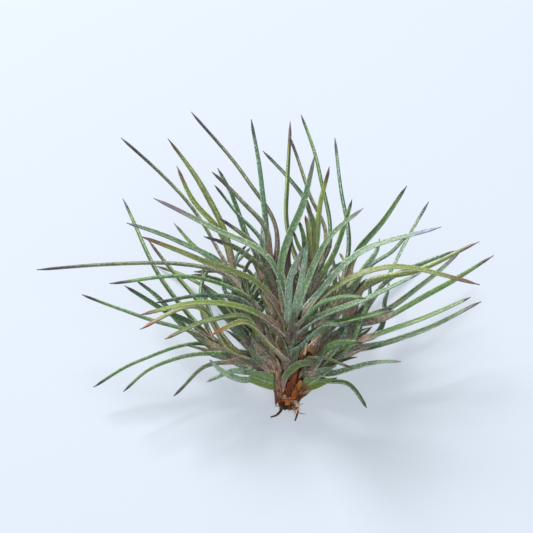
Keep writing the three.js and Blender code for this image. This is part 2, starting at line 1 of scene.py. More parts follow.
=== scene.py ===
"""Air plant, Tillandsia bandensis: fine leaves, hairs, dead sheaths and stem around the frame.

The plant is worked out in its own frame in millimetres, as its solids are: x to the right, y along
the growth axis from the broken end of the stem, z out of the front of the fan. to_frame() leans
it back on the surface and turns it into metres.
"""

import math
from dataclasses import dataclass

import bpy
import numpy as np
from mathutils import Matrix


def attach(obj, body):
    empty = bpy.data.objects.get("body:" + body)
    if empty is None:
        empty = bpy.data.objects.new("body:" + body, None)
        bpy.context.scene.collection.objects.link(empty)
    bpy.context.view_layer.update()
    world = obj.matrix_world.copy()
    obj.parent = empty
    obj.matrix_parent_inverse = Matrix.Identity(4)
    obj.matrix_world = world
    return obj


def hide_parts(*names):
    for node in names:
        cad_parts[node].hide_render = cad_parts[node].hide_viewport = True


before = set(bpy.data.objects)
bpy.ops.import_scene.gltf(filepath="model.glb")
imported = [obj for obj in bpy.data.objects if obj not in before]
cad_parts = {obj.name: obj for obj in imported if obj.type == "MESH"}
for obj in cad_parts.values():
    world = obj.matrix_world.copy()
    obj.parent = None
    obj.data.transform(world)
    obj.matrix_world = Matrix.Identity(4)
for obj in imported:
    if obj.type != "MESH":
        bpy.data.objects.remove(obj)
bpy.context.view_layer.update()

# Pose on the surface
LEAN = math.radians(37)
STEM_HEIGHT = 2.0
FLOOR_CLEARANCE = 0.4

# Blades: half widths, where along the leaf the sheath and the full blade are, and the section
ROOT_HALF_WIDTH = 0.8
SHEATH_HALF_WIDTH = 1.5
BLADE_HALF_WIDTH = 0.84
TIP_HALF_WIDTH = 0.32
POINT_HALF_WIDTH = 0.1
SHEATH_AT = 0.1
BLADE_AT = 0.32
POINT_AT = 0.93
TAPER_POWER = 2
HALF_THICKNESS = 0.33
CHANNEL = 0.62

# A shoot's core, from its seat on the stem to its crown
CORE_RADII = (1.25, 1.8, 1.75, 1.1)
CORE_ROOM = 2.0

# Woody stem: a stump with a broken end, an arm to each shoot, wiry roots
ALONG_STEM = np.array([0.0, 1.0, 0.0])
STEM_FORK = np.array([0.0, 4.0, 0.0])
STUMP_END = np.array([0.0, -2.6, 0.0])
STUMP_RADII = (2.1, 2.4, 2.3, 1.9)
ARM_RADII = (1.3, 1.2)
ARM_SINK = 0.2
ROOT_RADII = (0.55, 0.36, 0.28, 0.18)
ROOT_HEIGHT = 0.75
SEAT_GAP = 0.3
COLLAR_RADIUS = STUMP_RADII[1] + SEAT_GAP
COLLAR_WALL = 0.75
DEAD_HALF_WIDTH = 1.7
DEAD_ARCH = 0.12
DEAD_CHANNEL = (0.5, 0.9)
DEAD_THICKNESS = (0.2, 0.06)

# Shares of the broken end's radius, with how deep its hollow is there, and where its lip is
HOLLOW = ((0.2, 1.9), (0.62, 1.5))
LIP_SHARE = 0.86

# Leaves are bent apart in steps until a gap is between two shoots, as the solids are
SAMPLES = 25
BEND_STEPS = 120
LEAF_GAP = 1.3
ROOM_SHARE = 0.9
PUSH_GAIN = 1.4
LEAST_SLOPE = 0.4
SMOOTHING_PASSES = 12
ROOTED = 0.12
HELD = math.ceil(ROOTED * SAMPLES)
SAME_SHOOT_FREE = 0.4
CROWDED = 0.2
SHARPEST_BEND = math.radians(26)
PAIR_MARGIN = 2.5

# Leaves that the front doesn't show: a golden-angle spiral with seeded draws
GOLDEN_ANGLE = math.radians(137.5)
FILLER_SEED = 108
FILLER_TURN = (-25, 25)
FILLER_START = (0.35, 0.95)
FILLER_LENGTH = (30, 50)
FILLER_SPREAD = (18, 74)
FILLER_PASSES = (0.35, 0.7)
FILLER_ARCH = 0.16
FILLER_TIP_HEIGHT = 2
OUTLINE_HALF_WIDTH = 38
OUTLINE_HEIGHT = 46


@dataclass(eq=False)
class Shoot:
    """A short stem that bears leaves, and how its leaves are drawn."""

    name: str
    crown: tuple
    start: float
    width: float
    filler: int
    behind: float
    looks: str
    leaves: list


# Every shoot: where its axis ends (crown), how far along the way there from the fork it starts,
# how wide its blades are, how many leaves it has that the front doesn't show, the depth that the
# tips of these stay behind, and the leaves that show, with a letter for the look of each. A leaf's
# numbers are: where along the axis it leaves, x and y of two points that it passes, x, y and z of
# its tip. A tip with no z lies on the surface.
SHOOTS = [
    Shoot("shoot_front", (1, 21, 13), 0.16, 1.2, 0, 18, "SSSSSOOVWOGGTDB", [
        (0.8, -1.8, 33.5, 3.8, 50, 6.5, 62, 17),
        (0.75, 5.8, 31.8, 10.9, 41.4, 18.7, 48.5, 22),
        (0.75, 0.1, 25.4, 0.8, 31, 3.8, 38.6, 38),
        (0.7, 2.3, 24.1, 3.9, 33, 4.6, 39.9, 33),
        (0.5, 6.1, 19.8, 20.3, 25.9, 33, 32.5, 26),
        (0.65, -7.6, 29.2, -22.4, 35.3, -37.3, 41.7, 15),
        (0.55, -9.7, 22.6, -22.4, 24.6, -37.1, 21.8, 21),
        (0.85, -5.1, 35.6, -18.5, 43.2, -33.8, 51, 17),
        (0.6, 7.6, 26.4, 18.3, 37.1, 38.4, 43.9, 14),
        (0.65, 11.2, 27.9, 25.9, 33.5, 48, 29.3, 17),
        (0.35, 6.1, 17, 16.3, 20.6, 26.4, 22.9, 22),
        (0.7, 8.1, 24.4, 13.2, 26, 19, 25.9, 30),
        (0.25, 5.6, 16, 9.4, 19, 14.5, 19.3, 28),
        (0.6, 1.2, 27, -0.2, 36, 0.9, 43, 9),
        (0.1, -5.1, 14.5, -10.9, 19.7, -19.3, 16.8, 25),
    ]),
    Shoot("shoot_left_front", (-9, 14, 7), 0.38, 1.15, 0, 8, "TOB", [
        (0.5, -10.5, 15.5, -15.5, 22, -21.8, 29.7, 10),
        (0.8, -10.2, 20.8, -20.6, 19.8, -31, 15.7, 14),
        (0.25, -15, 12.8, -23, 23.5, -37.3, 18, 12),
    ]),
    Shoot("shoot_left_low", (-20, 14, 1), 0.3, 1, 2, -2, "GGGPSSTTGO", [
        (0.9, -22.4, 16.3, -37.6, 21.1, -52.3, 26.8, 2),
        (0.55, -22.4, 14.2, -37.6, 10, -49.3, 3.3, 3),
        (0.4, -21.1, 11.6, -33.8, 8.5, -41.5, 2.3, 9),
        (0.25, -14.7, 9.4, -20.8, 8.4, -28.8, 1.3, 12),
        (0.1, -9.7, 6.9, -14.2, 7.1, -20.3, 5, 14),
        (0.05, -9.7, 5, -15.8, 6.9, -19.6, 10.7, 18),
        (0.85, -22.4, 18.5, -32.5, 23.4, -41.7, 29, -6),
        (0.75, -26.2, 18.8, -32.5, 25.4, -39.1, 30.5, -12),
        (0.6, -22.4, 18.8, -32.5, 31.5, -42.4, 51.3, -14),
        (0.2, -14.7, 14.5, -23.6, 26.2, -35.6, 40.6, -4),
    ]),
    Shoot("shoot_left_mid", (-12, 26, 3), 0.36, 1.08, 2, 0, "PGTT", [
        (0.7, -15.2, 31, -28.7, 34.5, -63.8, 33.1, 1),
        (0.45, -9.7, 24.9, -22.4, 30.9, -45, 29.7, 11),
        (0.55, -12.7, 25.4, -21.6, 26.3, -33.3, 24.9, 15),
        (0.85, -16.8, 34.3, -27.4, 39.8, -41.1, 45, -5),
    ]),
    Shoot("shoot_left_high", (-14, 31, -4), 0.36, 1, 4, -8, "POOG", [
        (0.8, -16.8, 36, -25.4, 50, -42.7, 66.9, -10),
        (0.9, -15.7, 42.2, -21.6, 54.1, -30.7, 66.5, -4),
        (0.85, -16.8, 41.9, -24.1, 51, -28.6, 59.7, -14),
        (0.4, -18.5, 34.3, -23.6, 38.6, -29.2, 45, -18),
    ]),
    Shoot("shoot_top_left", (-6, 34, -2), 0.36, 1, 2, -6, "PTPTTPP", [
        (0.7, -3.3, 43.7, -10.9, 56.4, -24.6, 73.5, -8),
        (0.8, -5.1, 43.2, -6.6, 55.4, -9.3, 71.4, 0),
        (0.75, -5.6, 42.4, -11.7, 50.3, -19.3, 57.9, 3),
        (0.9, -10.9, 41.9, -14.5, 52.3, -18, 59.2, -13),
        (0.85, -6.4, 39.4, -13, 47.5, -18.8, 54.6, -5),
        (0.6, -6.6, 36.8, -10.4, 40.9, -17.5, 46, 12),
        (0.3, -4.6, 30, -12.2, 38.1, -21.3, 41.4, 11),
    ]),
    Shoot("shoot_top", (7, 35, 0), 0.36, 1, 2, -6, "OPTGOGBOGG", [
        (0.55, -0.5, 44.5, -0.3, 55.9, 0.5, 71, -8),
        (0.75, 9.4, 41.9, 5.3, 52.6, 0.3, 67.3, -2),
        (0.8, 5.1, 48.3, 0.5, 55.9, -6.4, 63.5, -12),
        (0.85, 10.4, 40.6, 7.6, 58.9, 3.4, 72.6, -4),
        (0.8, 7.4, 43.2, 8.4, 52, 10.3, 59.2, 5),
        (0.55, 12.4, 38.1, 15, 47, 15.9, 50.8, 12),
        (0.9, 5.3, 37.6, 5.1, 42.4, 4.1, 46.7, 22),
        (0.95, 6.6, 36, 6.1, 45.2, 4.6, 49, 17),
        (0.45, 3.6, 36.6, 2.5, 38.9, 1, 43, 20),
        (0.85, 4.3, 36, 3.6, 41, 2.8, 45.5, 10),
    ]),
    Shoot("shoot_right_high", (16, 29, 2), 0.38, 1, 2, -2, "GTTS", [
        (0.75, 17, 36.8, 24.6, 46.2, 30.5, 54.4, -4),
        (0.5, 15.2, 38.9, 13.5, 53.3, 11.9, 66.8, -7),
        (0.85, 21, 33.8, 26.4, 37.6, 30.7, 42.2, 2),
        (0.9, 19.3, 33.5, 22.4, 37.6, 23.1, 40.9, 9),
    ]),
    Shoot("shoot_right_mid", (20, 22, -6), 0.36, 1, 3, -10, "TTOTG", [
        (0.55, 23.4, 27.9, 30, 40.1, 36.3, 50.5, -15),
        (0.85, 25.9, 30.5, 34.8, 34.5, 43.4, 38, -9),
        (0.6, 19.6, 29, 33.5, 33.1, 48.5, 40, 4),
        (0.75, 26.4, 23.1, 34.8, 29.2, 44.7, 37.8, -21),
        (0.7, 24.1, 20.3, 38.6, 28.4, 52.2, 36.6, 3),
    ]),
    Shoot("shoot_right_low", (17, 14, 3), 0.34, 1, 2, -2, "GTGG", [
        (0.85, 20.8, 15.7, 34.8, 20.8, 46.2, 26.2, 3),
        (0.75, 20.8, 13.2, 36.6, 18.5, 49.3, 24.8, -3),
        (0.5, 14.7, 13.7, 16.8, 17.3, 18.3, 20.3, 15),
        (0.7, 16.3, 16, 18.5, 21.3, 20.3, 25.4, 8),
    ]),
    Shoot("shoot_right_front", (8, 9, 8), 0.5, 1, 0, 6, "GSTGO", [
        (0.1, 9, 4.9, 15.2, 3.9, 19.8, -1.8, 8),
        (0.4, 10.7, 6.6, 20.8, 9.5, 28.4, 9.9, 12),
        (0.85, 11.2, 12.2, 13.7, 16.5, 15.2, 19.8, 20),
        (0.75, 9.5, 13, 14.5, 14.9, 18.5, 15, 24),
        (0.4, 5.6, 10.2, 9.6, 10.6, 15.5, 8.7, 18),
    ]),
    Shoot("shoot_back_left", (-13, 19, -10), 0.4, 1, 13, -8, "O", [(0.55, -17, 25, -26, 31, -34, 34)]),
    Shoot("shoot_back_right", (11, 22, -12), 0.4, 1, 13, -8, "G", [(0.55, 17, 26, 26, 31, 34, 33)]),
    Shoot("shoot_back", (1, 30, -13), 0.4, 1, 13, -10, "", []),
]

# Dead sheaths: the turn about the stem from the front in degrees, where they start along it, how
# long they are and how far they spread from it
DEAD_SHEATHS = [
    (-32, 1.2, 9.5, 14), (10, 0.2, 5.0, 12), (62, 0.2, 6.0, 40), (100, 0.4, 5.5, 22),
    (150, 1.0, 6.5, 22), (205, 0.8, 6.5, 22), (250, 0.4, 5.5, 22), (300, 0.2, 5.0, 18),
]

# Roots: their points in x and y, lying on the surface past the first
ROOTS = [
    [(1.2, 0.2), (2.4, -1.9), (2.3, -3.6), (1.8, -5.2)],
    [(-1.0, -0.5), (-1.8, -2.6), (-2.9, -3.8), (-4.4, -4.3)],
]


def colour(code):
    """A colour of six hexadecimal digits as linear red, green and blue."""
    parts = [int(code[i:i + 2], 16) / 255 for i in (0, 2, 4)]
    return [c / 12.92 if c <= 0.04045 else ((c + 0.055) / 1.055) ** 2.4 for c in parts]


# How a leaf is coloured: its blade, its tip, where the tip's colour starts, how much of the blade
# the silvery scales cover and how far up the brown and purple sheath goes
LOOKS = {
    "S": ("6c946a", "6f6a6c", 0.92, 0.80, 0.15),
    "G": ("55861e", "3a2f33", 0.90, 0.34, 0.17),
    "O": ("7e8c22", "5c4030", 0.86, 0.32, 0.18),
    "T": ("2c683e", "2f2f36", 0.88, 0.38, 0.20),
    "P": ("686a38", "3c3038", 0.78, 0.32, 0.27),
    "B": ("8c8626", "7a4426", 0.86, 0.32, 0.20),
    "V": ("6c946a", "6a5566", 0.78, 0.70, 0.20),
    "W": ("74a090", "666e90", 0.82, 0.80, 0.12),
    "D": ("4a3222", "2a1b14", 0.50, 0.00, 0.02),
    "Y": ("94a022", "5a4630", 0.90, 0.22, 0.05),
    "L": ("7c9a4e", "6f6a6c", 0.95, 0.55, 0.00),
    "M": ("7c1c46", "98486a", 0.70, 0.04, -0.30),
}
# Multiplied into a blade's colour: its random mottle, and painted shade on the groove face
MOTTLE_AND_PAINTED_GROOVE_SHADE = (0.36, 0.46, 0.24, 1)
DRIED_WIDTH = 1.25
INNER_NARROWING = 0.35
FILLER_LOOKS = "TPOTGT"
# Cores and cuffs: the old sheaths' own colours, with a dark green blade colour that is painted shade
# for the inside of the clump
CUFF_LOOK_DARKENED_AS_SHADE = ("3c5226", "4a4230", 0.80, 0.32, 0.16)

# Where the pattern of each blade lies in the noise: steps between blades, start of the dry ones
LEAF_STEP = 7.3
DRY_START = 500.0
DRY_STEP = 9.1

# Dry papery sheaths and the strips that clasp them: their colour and the colour of their tips
DEAD_LOOKS = [("d2a888", "e0ccba"), ("a8581f", "c29470"), ("a05c3c", "c09880"), ("7f4434", "a98272"),
              ("9a5426", "b98a68"), ("80481f", "b98a68"), ("9a5426", "b98a68"), ("a8662e", "c0a078")]
STRIP_LOOKS = [("c8641a", "d2985f"), ("8a4014", "b4764a"), ("b85c1e", "c99468"), ("d08c48", "e0c09a"),
               ("763818", "a06c48")]
STRIPS = 60
STRIP_START = (-1.3, 3.6)
STRIP_LENGTH = (2.4, 4.6)
STRIP_SPREAD = (0, 11)
STRIP_HALF_WIDTH = (0.3, 1.1)
COLLAR_COLOURS = ("8c4a22", "a0643a")
COLLAR_HEIGHTS = (-0.6, 3.4)
COLLAR_RADII = (COLLAR_RADIUS + 0.15, COLLAR_RADIUS + 0.6)
COLLAR_RINGS = 14
COLLAR_SIDES = 40
RAGGED_RINGS = (1.0, 0.6, 0.3)
RAGGED_BY = (-0.4, 0.9)

# Loose fibres of the broken end: how far from the stem's middle they start and how far below
FIBRES = 14
FIBRE_FROM = (0.8, 2.6)
FIBRE_BELOW = 1.6
FIBRE_COLOURS = ("b07a52", "c9a184")
FIBRE_RADII = (0.16, 0.06)
FIBRE_RINGS = 14
FIBRE_SIDES = 6

# Short parts that only show near the base: their shoot, points along them, half widths and look
SHORT_PARTS = [
    ("shoot_front", [(0.6, 15, 12), (0.9, 16.8, 13.8), (1.1, 18.6, 14.8)], (0.2, 0.5, 0.12), "M"),
    ("shoot_left_front", [(-4.6, 7, 4.6), (-7.6, 10.4, 8.4), (-9.3, 13.2, 10.6), (-9.5, 16.3, 11.6)],
     (0.5, 0.8, 0.65, 0.12), "P"),
    ("shoot_right_front", [(-1.3, 2.2, 4.2), (-0.5, 6.4, 6.6), (2.8, 9.4, 8.4), (7.6, 9.9, 9.9)],
     (0.2, 0.75, 0.9, 0.9, 0.6), "O"),
    ("shoot_right_low", [(2.4, 2.4, 3.4), (6.6, 3.9, 5.6), (12.4, 5.8, 6.4)],
     (0.3, 1, 1.1, 0.7, 0.1), "Y"),
    ("shoot_right_low", [(3.2, 3.6, 4), (7.6, 7, 7), (13.8, 10.8, 7.6)],
     (0.3, 1.2, 1.4, 1, 0.2), "L"),
    ("shoot_left_low", [(-1.9, 3, 2.4), (-6.4, 4.4, 3.8), (-11.5, 5.8, 5.2)],
     (0.3, 1.1, 1.1, 0.8, 0.3), "Y"),
    ("shoot_left_low", [(-2.4, 4.6, 3), (-6.6, 6.2, 4.2), (-10.8, 7.1, 5.6)],
     (0.3, 1.2, 1.2, 0.8, 0.4), "L"),
]

# Papery sheaths that close the gap between the lowest shoots: points along them, half widths and
# the colours of the sheath and its tip
PAPERS = [
    ([(-0.2, 0.4, 3.4), (0.4, 3.2, 5), (2.2, 6.8, 6.4)], (0.3, 0.8, 0.7, 0.15), ("8a3c12", "a85f30")),
    ([(0.9, 0.2, 3.3), (2.2, 2.6, 4.9), (3.2, 5.2, 5.9)], (0.4, 1, 0.7, 0.3), ("c0641c", "c9884c")),
    ([(1.8, 0.4, 3), (3.8, 2.8, 4.8), (5.8, 4.6, 5.8)], (0.3, 0.6, 0.5, 0.15), ("93542c", "bd8f68")),
    ([(1.2, -0.6, 2.6), (3.2, 1.3, 4.2), (6.4, 3.1, 4.6)], (0.3, 0.9, 0.8, 0.1), ("b07f62", "c9a890")),
    ([(-2, 0.4, 2.6), (-2.5, 3.6, 4.2), (-3, 7.4, 4.8)], (0.3, 0.7, 0.6, 0.1), ("b98a68", "cfae92")),
]

# Points along the splinters and curled strips at the stem's broken end
SPLINTERS = [
    [(0.4, -0.7, 2.6), (1.5, -1.2, 3.6), (2.9, -1.5, 2.6)],
    [(0.9, -1.2, 2.4), (1.9, -1.9, 3.2), (3.1, -2.4, 2)],
    [(1.2, -0.2, 2.8), (2.2, -0.6, 3.6), (3, -1.6, 2.6)],
    [(1.4, -1.9, 2.2), (1.9, -2.7, 2.4), (1.7, -3.6, 1.7)],
    [(-1.7, 0.5, 2.8), (-0.6, 0.9, 3.6), (0.5, 0.4, 3.2)],
]
SPLINTER_WIDTHS = (0.2, 0.46, 0.4, 0.12)
SPLINTER_COLOURS = ("f2cca8", "f6e8da")

# Filler leaves that would end among the tips above the crown keep only their first points
TUCKED_HALF_WIDTH = 18
TUCKED_ABOVE = 34
TUCKED_POINTS = 15

# Fine leaves: the seed of their draws, rings along and points round one, its sway and section
LOOK_SEED = 77
RINGS = 58
SIDES = 16
WOBBLE = 0.16
SWAY_WAVES = (7, 11)
SWAY_SHARES = (1, 0.6)
WIDTH_WAVE = 9
WIDTH_CHANGE = 0.05
MARGIN_CURL = 1.8
SHEATH_CURL = 1.35

# Old broad sheaths round a shoot's core: how far apart they start, and where along the axis
CUFF_STEP = 1.15
CUFF_FROM = -0.16
CUFF_REACH = 0.92
CUFF_RINGS = 24
CUFF_LENGTH = (7.5, 12.5)
CUFF_HALF_WIDTHS = (1.9, 0.12)
CUFF_THICKNESS = (0.22, 0.07)
CUFF_SHARE = 0.34

# Hairs and scales on the leaves, thicker towards a leaf's base and its margins
HAIRS_PER_MM2 = 1.2
HAIRS_ALONG = (1.8, 0.5)
HAIRS_ACROSS = (0.4, 3.0)
HAIR_SIZES = (1.3, 0.8)
HAIR_LENGTH = (0.2, 0.46)
HAIR_HALF_WIDTH = (0.05, 0.11)
HAIR_RISE = (0.1, 0.7)
HAIR_LEAN = 0.35
HAIR_DEPTH = 0.04
HAIR_THICKNESS = 0.05
FLAKE_FACES = ((0, 1, 2), (1, 0, 3), (2, 1, 3), (0, 2, 3))

# Floor, light and view. A light has a name, a place in metres, a size, an energy and a tint.
FLOOR_SIZE = 3
FLOOR_COLOUR = (0.2, 0.22, 0.26, 1)
FLOOR_GLOW = (0.84, 0.92, 1.0, 1)
FLOOR_GLOW_STRENGTH = 0.48
SKY_COLOUR = (0.93, 0.96, 1.0, 1)
SKY_STRENGTH = 0.24
LIGHTS = [
    ("key", (-0.42, 0.72, 0.78), 0.36, 23.5, (1.0, 0.98, 0.95)),
    ("fill", (0.2, -0.5, 0.75), 0.6, 5.0, (0.9, 0.95, 1.0)),
]
LIGHTS_AIM = (0.0, 0.02, 0.02)
VIEW_CENTRE = (-5.46, 33.9)
VIEW_WIDTH = 135.4
VIEW_DISTANCE = 1200.0
SENSOR_WIDTH = 36.0


def smoothstep(value, low, high):
    t = np.clip((value - low) / (high - low), 0, 1)
    return t * t * (3 - 2 * t)


def mix(a, b, share):
    return a + (b - a) * share


def unit(vector):
    return vector / np.maximum(np.linalg.norm(vector, axis=-1, keepdims=True), 1e-9)


def square_to(axis, vector):
    return unit(vector - axis * (vector @ axis))


def sides_of(axis):
    """Two directions square to a shoot's axis."""
    side = unit(np.cross((0, 0, 1), axis))
    return side, np.cross(axis, side)


def outward(turn):
    """The way out of the stem at a turn about it from the front."""
    return np.array([math.sin(turn), 0.0, math.cos(turn)])


def length_of(line):
    return np.linalg.norm(np.diff(line, axis=0), axis=1).sum()


def read_off(along, values):
    """Evenly spaced values, read off at places from 0 to 1."""
    return np.interp(along, np.linspace(0, 1, len(values)), values)


def to_frame(points):
    """Points of the plant's own frame, in millimetres, as points of the frame in metres."""
    x, y, z = np.moveaxis(np.asarray(points, float), -1, 0)
    up = y * math.sin(LEAN) + z * math.cos(LEAN) + STEM_HEIGHT
    back = y * math.cos(LEAN) - z * math.sin(LEAN)
    return np.stack([x, back, up], -1) / 1000


def depth_at_height(y, height):
    return (height - STEM_HEIGHT - y * math.sin(LEAN)) / math.cos(LEAN)


class Draws:
    """Seeded draws, the same as those that placed the filler leaves of the solids."""

    MASK = 0xFFFFFFFF

    def __init__(self, seed):
        self.state = seed
        self.draw()

    def draw(self):
        self.state = (self.state + 0x6D2B79F5) & self.MASK
        t = self.state
        t = ((t ^ t >> 15) * (t | 1)) & self.MASK
        t ^= (t + ((t ^ t >> 7) * (t | 61))) & self.MASK
        return ((t ^ t >> 14) & self.MASK) / 4294967296

    def between(self, limits):
        return limits[0] + (limits[1] - limits[0]) * self.draw()


@dataclass
class Strand:
    """A leaf, or a shoot's core."""

    shoot: Shoot
    points: np.ndarray
    start: float = 0.0
    seen: bool = False
    fixed: bool = False
    core: bool = False
    look: str = ""
    room: np.ndarray = None


def shoot_axis(shoot):
    """Start, crown and direction of a shoot's axis."""
    crown = np.array(shoot.crown, float)
    base = mix(STEM_FORK, crown, shoot.start)
    return base, crown, unit(crown - base)


def blade_half_width(along):
    along = np.asarray(along, float)
    root = mix(ROOT_HALF_WIDTH, SHEATH_HALF_WIDTH, along / SHEATH_AT)
    sheath = mix(SHEATH_HALF_WIDTH, BLADE_HALF_WIDTH, smoothstep(along, SHEATH_AT, BLADE_AT))
    taper = (np.maximum(along - BLADE_AT, 0) / (1 - BLADE_AT)) ** TAPER_POWER
    blade = mix(BLADE_HALF_WIDTH, TIP_HALF_WIDTH, taper)
    return np.where(along < SHEATH_AT, root, np.where(along < BLADE_AT, sheath, blade))


def centre_line(corners):
    """Evenly spaced points on the centripetal Catmull-Rom curve through the corners."""
    corners = np.array(corners, float)
    ends = np.vstack([2 * corners[:1] - corners[1:2], corners, 2 * corners[-1:] - corners[-2:-1]])
    steps = np.sqrt(np.linalg.norm(np.diff(ends, axis=0), axis=1))
    spans = len(corners) - 1

    def at(t):
        place = np.minimum((t * spans).astype(int), spans - 1)
        share = (t * spans - place)[:, None]
        p0, p1, p2, p3 = (ends[place + k] for k in range(4))
        d0, d1, d2 = (steps[place + k][:, None] for k in range(3))
        leave = ((p1 - p0) / d0 - (p2 - p0) / (d0 + d1) + (p2 - p1) / d1) * d1
        arrive = ((p2 - p1) / d1 - (p3 - p1) / (d1 + d2) + (p3 - p2) / d2) * d1
        square = -3 * p1 + 3 * p2 - 2 * leave - arrive
        cube = 2 * p1 - 2 * p2 + leave + arrive
        return p1 + share * (leave + share * (square + share * cube))

    even = np.linspace(0, 1, 201)
    lengths = np.linalg.norm(np.diff(at(even), axis=0), axis=1)
    gone = np.concatenate([[0], np.cumsum(lengths)])
    return at(np.interp(np.linspace(0, 1, SAMPLES) * gone[-1], gone, even))


def seen_leaf(shoot, row, look):
    start, bend_x, bend_y, reach_x, reach_y, tip_x, tip_y, *depth = row
    base, crown, _ = shoot_axis(shoot)
    root = mix(base, crown, start)
    end = depth[0] if depth else depth_at_height(tip_y, TIP_HALF_WIDTH)
    ways = [
        math.hypot(bend_x - root[0], bend_y - root[1]),
        math.hypot(reach_x - bend_x, reach_y - bend_y),
        math.hypot(tip_x - reach_x, tip_y - reach_y),
    ]
    bend = (bend_x, bend_y, mix(root[2], end, ways[0] / sum(ways)))
    reach = (reach_x, reach_y, mix(root[2], end, 1 - ways[2] / sum(ways)))
    points = centre_line([root, bend, reach, (tip_x, tip_y, end)])
    return Strand(shoot, points, start, seen=True, fixed=not depth, look=look)


def filler_leaf(shoot, index, draws):
    """A leaf of the golden-angle spiral, or None where its tip would show or be sunk."""
    base, crown, axis = shoot_axis(shoot)
    side, out = sides_of(axis)
    turn = index * GOLDEN_ANGLE + math.radians(draws.between(FILLER_TURN))
    start = draws.between(FILLER_START)
    spread = math.radians(draws.between(FILLER_SPREAD))
    length = draws.between(FILLER_LENGTH)
    sideways = side * math.cos(turn) + out * math.sin(turn)
    aim = axis * math.cos(spread) + sideways * math.sin(spread)
    root = mix(base, crown, start)
    lift = FILLER_ARCH * length * math.sin(spread)
    corners = [root + along * length * aim + 4 * along * (1 - along) * lift * axis
               for along in (0, *FILLER_PASSES, 1)]
    tip = corners[-1]
    outline = math.hypot(tip[0] / OUTLINE_HALF_WIDTH, tip[1] / OUTLINE_HEIGHT)
    sunk = tip[2] < depth_at_height(tip[1], FILLER_TIP_HEIGHT)
    if outline > 1 or tip[2] > shoot.behind or sunk:
        return None
    look = FILLER_LOOKS[index % len(FILLER_LOOKS)]
    return Strand(shoot, centre_line(corners), start, look=look)


def grow_leaves():
    draws = Draws(FILLER_SEED)
    leaves = []
    for shoot in SHOOTS:
        for row, look in zip(shoot.leaves, shoot.looks):
            leaves.append(seen_leaf(shoot, row, look))
        grown = index = 0
        while grown < shoot.filler:
            leaf = filler_leaf(shoot, index, draws)
            index += 1
            if leaf is not None:
                leaves.append(leaf)
                grown += 1
    return leaves


def core_strand(shoot):
    crown = np.array(shoot.crown, float)
    points = mix(STEM_FORK, crown, np.linspace(0, 1, SAMPLES)[:, None])
    return Strand(shoot, points, fixed=True, core=True)


def give_room(strands):
    share = ROOM_SHARE * blade_half_width(np.linspace(0, 1, SAMPLES))
    for strand in strands:
        strand.room = np.full(SAMPLES, CORE_ROOM) if strand.core else strand.shoot.width * share


def largest_pushes(points, pairs, room, fixed, seen):
    """Pushes on points from the point that each lacks most room to. Seen leaves move in depth."""
    own, other = pairs
    apart = points[own] - points[other]
    distance = np.maximum(np.sqrt(np.einsum("ij,ij->i", apart, apart)), 1e-6)
    lack = room[own] + room[other] + LEAF_GAP - distance
    short = lack > 0
    own, other, apart, distance, lack = (a[short] for a in (own, other, apart, distance, lack))
    size = lack * np.where(fixed[other], 1.0, 0.5)
    slope = np.maximum(np.abs(apart[:, 2]) / distance, LEAST_SLOPE)
    size = np.where(seen[own], size / slope, size)
    # pairs in order of point and size, of which the last of each point counts
    order = np.lexsort((size, own))
    last = order[np.append(np.diff(own[order]) > 0, True)]
    flat = np.zeros_like(apart[last])
    flat[:, 2] = np.where(apart[last, 2] >= 0, size[last], -size[last])
    free = apart[last] * (size[last] / distance[last])[:, None]
    pushes = np.zeros_like(points)
    pushes[own[last]] = np.where(seen[own[last], None], flat, free)
    return pushes


def close_pairs(points, reach):
    """Numbers of two points each, whose squared distance is under their reach."""
    low = points.astype(np.float32)
    square = (low * low).sum(1, keepdims=True)
    one = np.ones_like(square)
    distance = np.hstack([low, square, one]) @ np.hstack([-2 * low, one, square]).T
    return np.divmod(np.flatnonzero(distance < reach), len(points))


def bend_apart(strands):
    """Bends leaves apart and keeps them above the surface."""
    owner = np.repeat(np.arange(len(strands)), SAMPLES)
    sample = np.tile(np.arange(SAMPLES), len(strands))
    shoot = np.array([SHOOTS.index(strand.shoot) for strand in strands])[owner]
    core, fixed, seen = (np.array([getattr(strand, name) for strand in strands])[owner]
                         for name in ("core", "fixed", "seen"))
    room = np.concatenate([strand.room for strand in strands])
    late = sample >= math.ceil(SAME_SHOOT_FREE * SAMPLES)
    strangers = shoot[:, None] != shoot[None]
    able = strangers | (late[:, None] & late[None] & ~core[None])
    able &= (owner[:, None] != owner[None]) & ~fixed[:, None] & (sample >= HELD)[:, None]
    reach = (room[:, None] + room[None] + LEAF_GAP + PAIR_MARGIN) ** 2
    reach = np.where(able, reach, -1).astype(np.float32)
    hold = PUSH_GAIN * smoothstep(sample / (SAMPLES - 1), 0, 2 * ROOTED)[:, None]
    clearance = FLOOR_CLEARANCE + 0.5 * room
    points = np.concatenate([strand.points for strand in strands])
    paired_at = np.full_like(points, np.inf)
    for _ in range(BEND_STEPS):
        if np.abs(points - paired_at).max() > PAIR_MARGIN / 4:
            paired_at, pairs = points, close_pairs(points, reach)
        pushes = largest_pushes(points, pairs, room, fixed, seen).reshape(-1, SAMPLES, 3)
        for _ in range(SMOOTHING_PASSES):
            before = pushes[:, np.maximum(np.arange(SAMPLES) - 1, 0)]
            after = pushes[:, np.minimum(np.arange(SAMPLES) + 1, SAMPLES - 1)]
            pushes = (2 * pushes + before + after) / 4
        moved = points + hold * pushes.reshape(-1, 3)
        moved[:, 2] = np.maximum(moved[:, 2], depth_at_height(moved[:, 1], clearance))
        points = np.where(fixed[:, None], points, moved)
    for strand, line in zip(strands, points.reshape(-1, SAMPLES, 3)):
        strand.points = line


def sharpest_bend(points):
    steps = np.diff(points, axis=0)
    steps /= np.linalg.norm(steps, axis=1)[:, None]
    return np.arccos(np.clip((steps[1:] * steps[:-1]).sum(axis=1), -1, 1)).max()


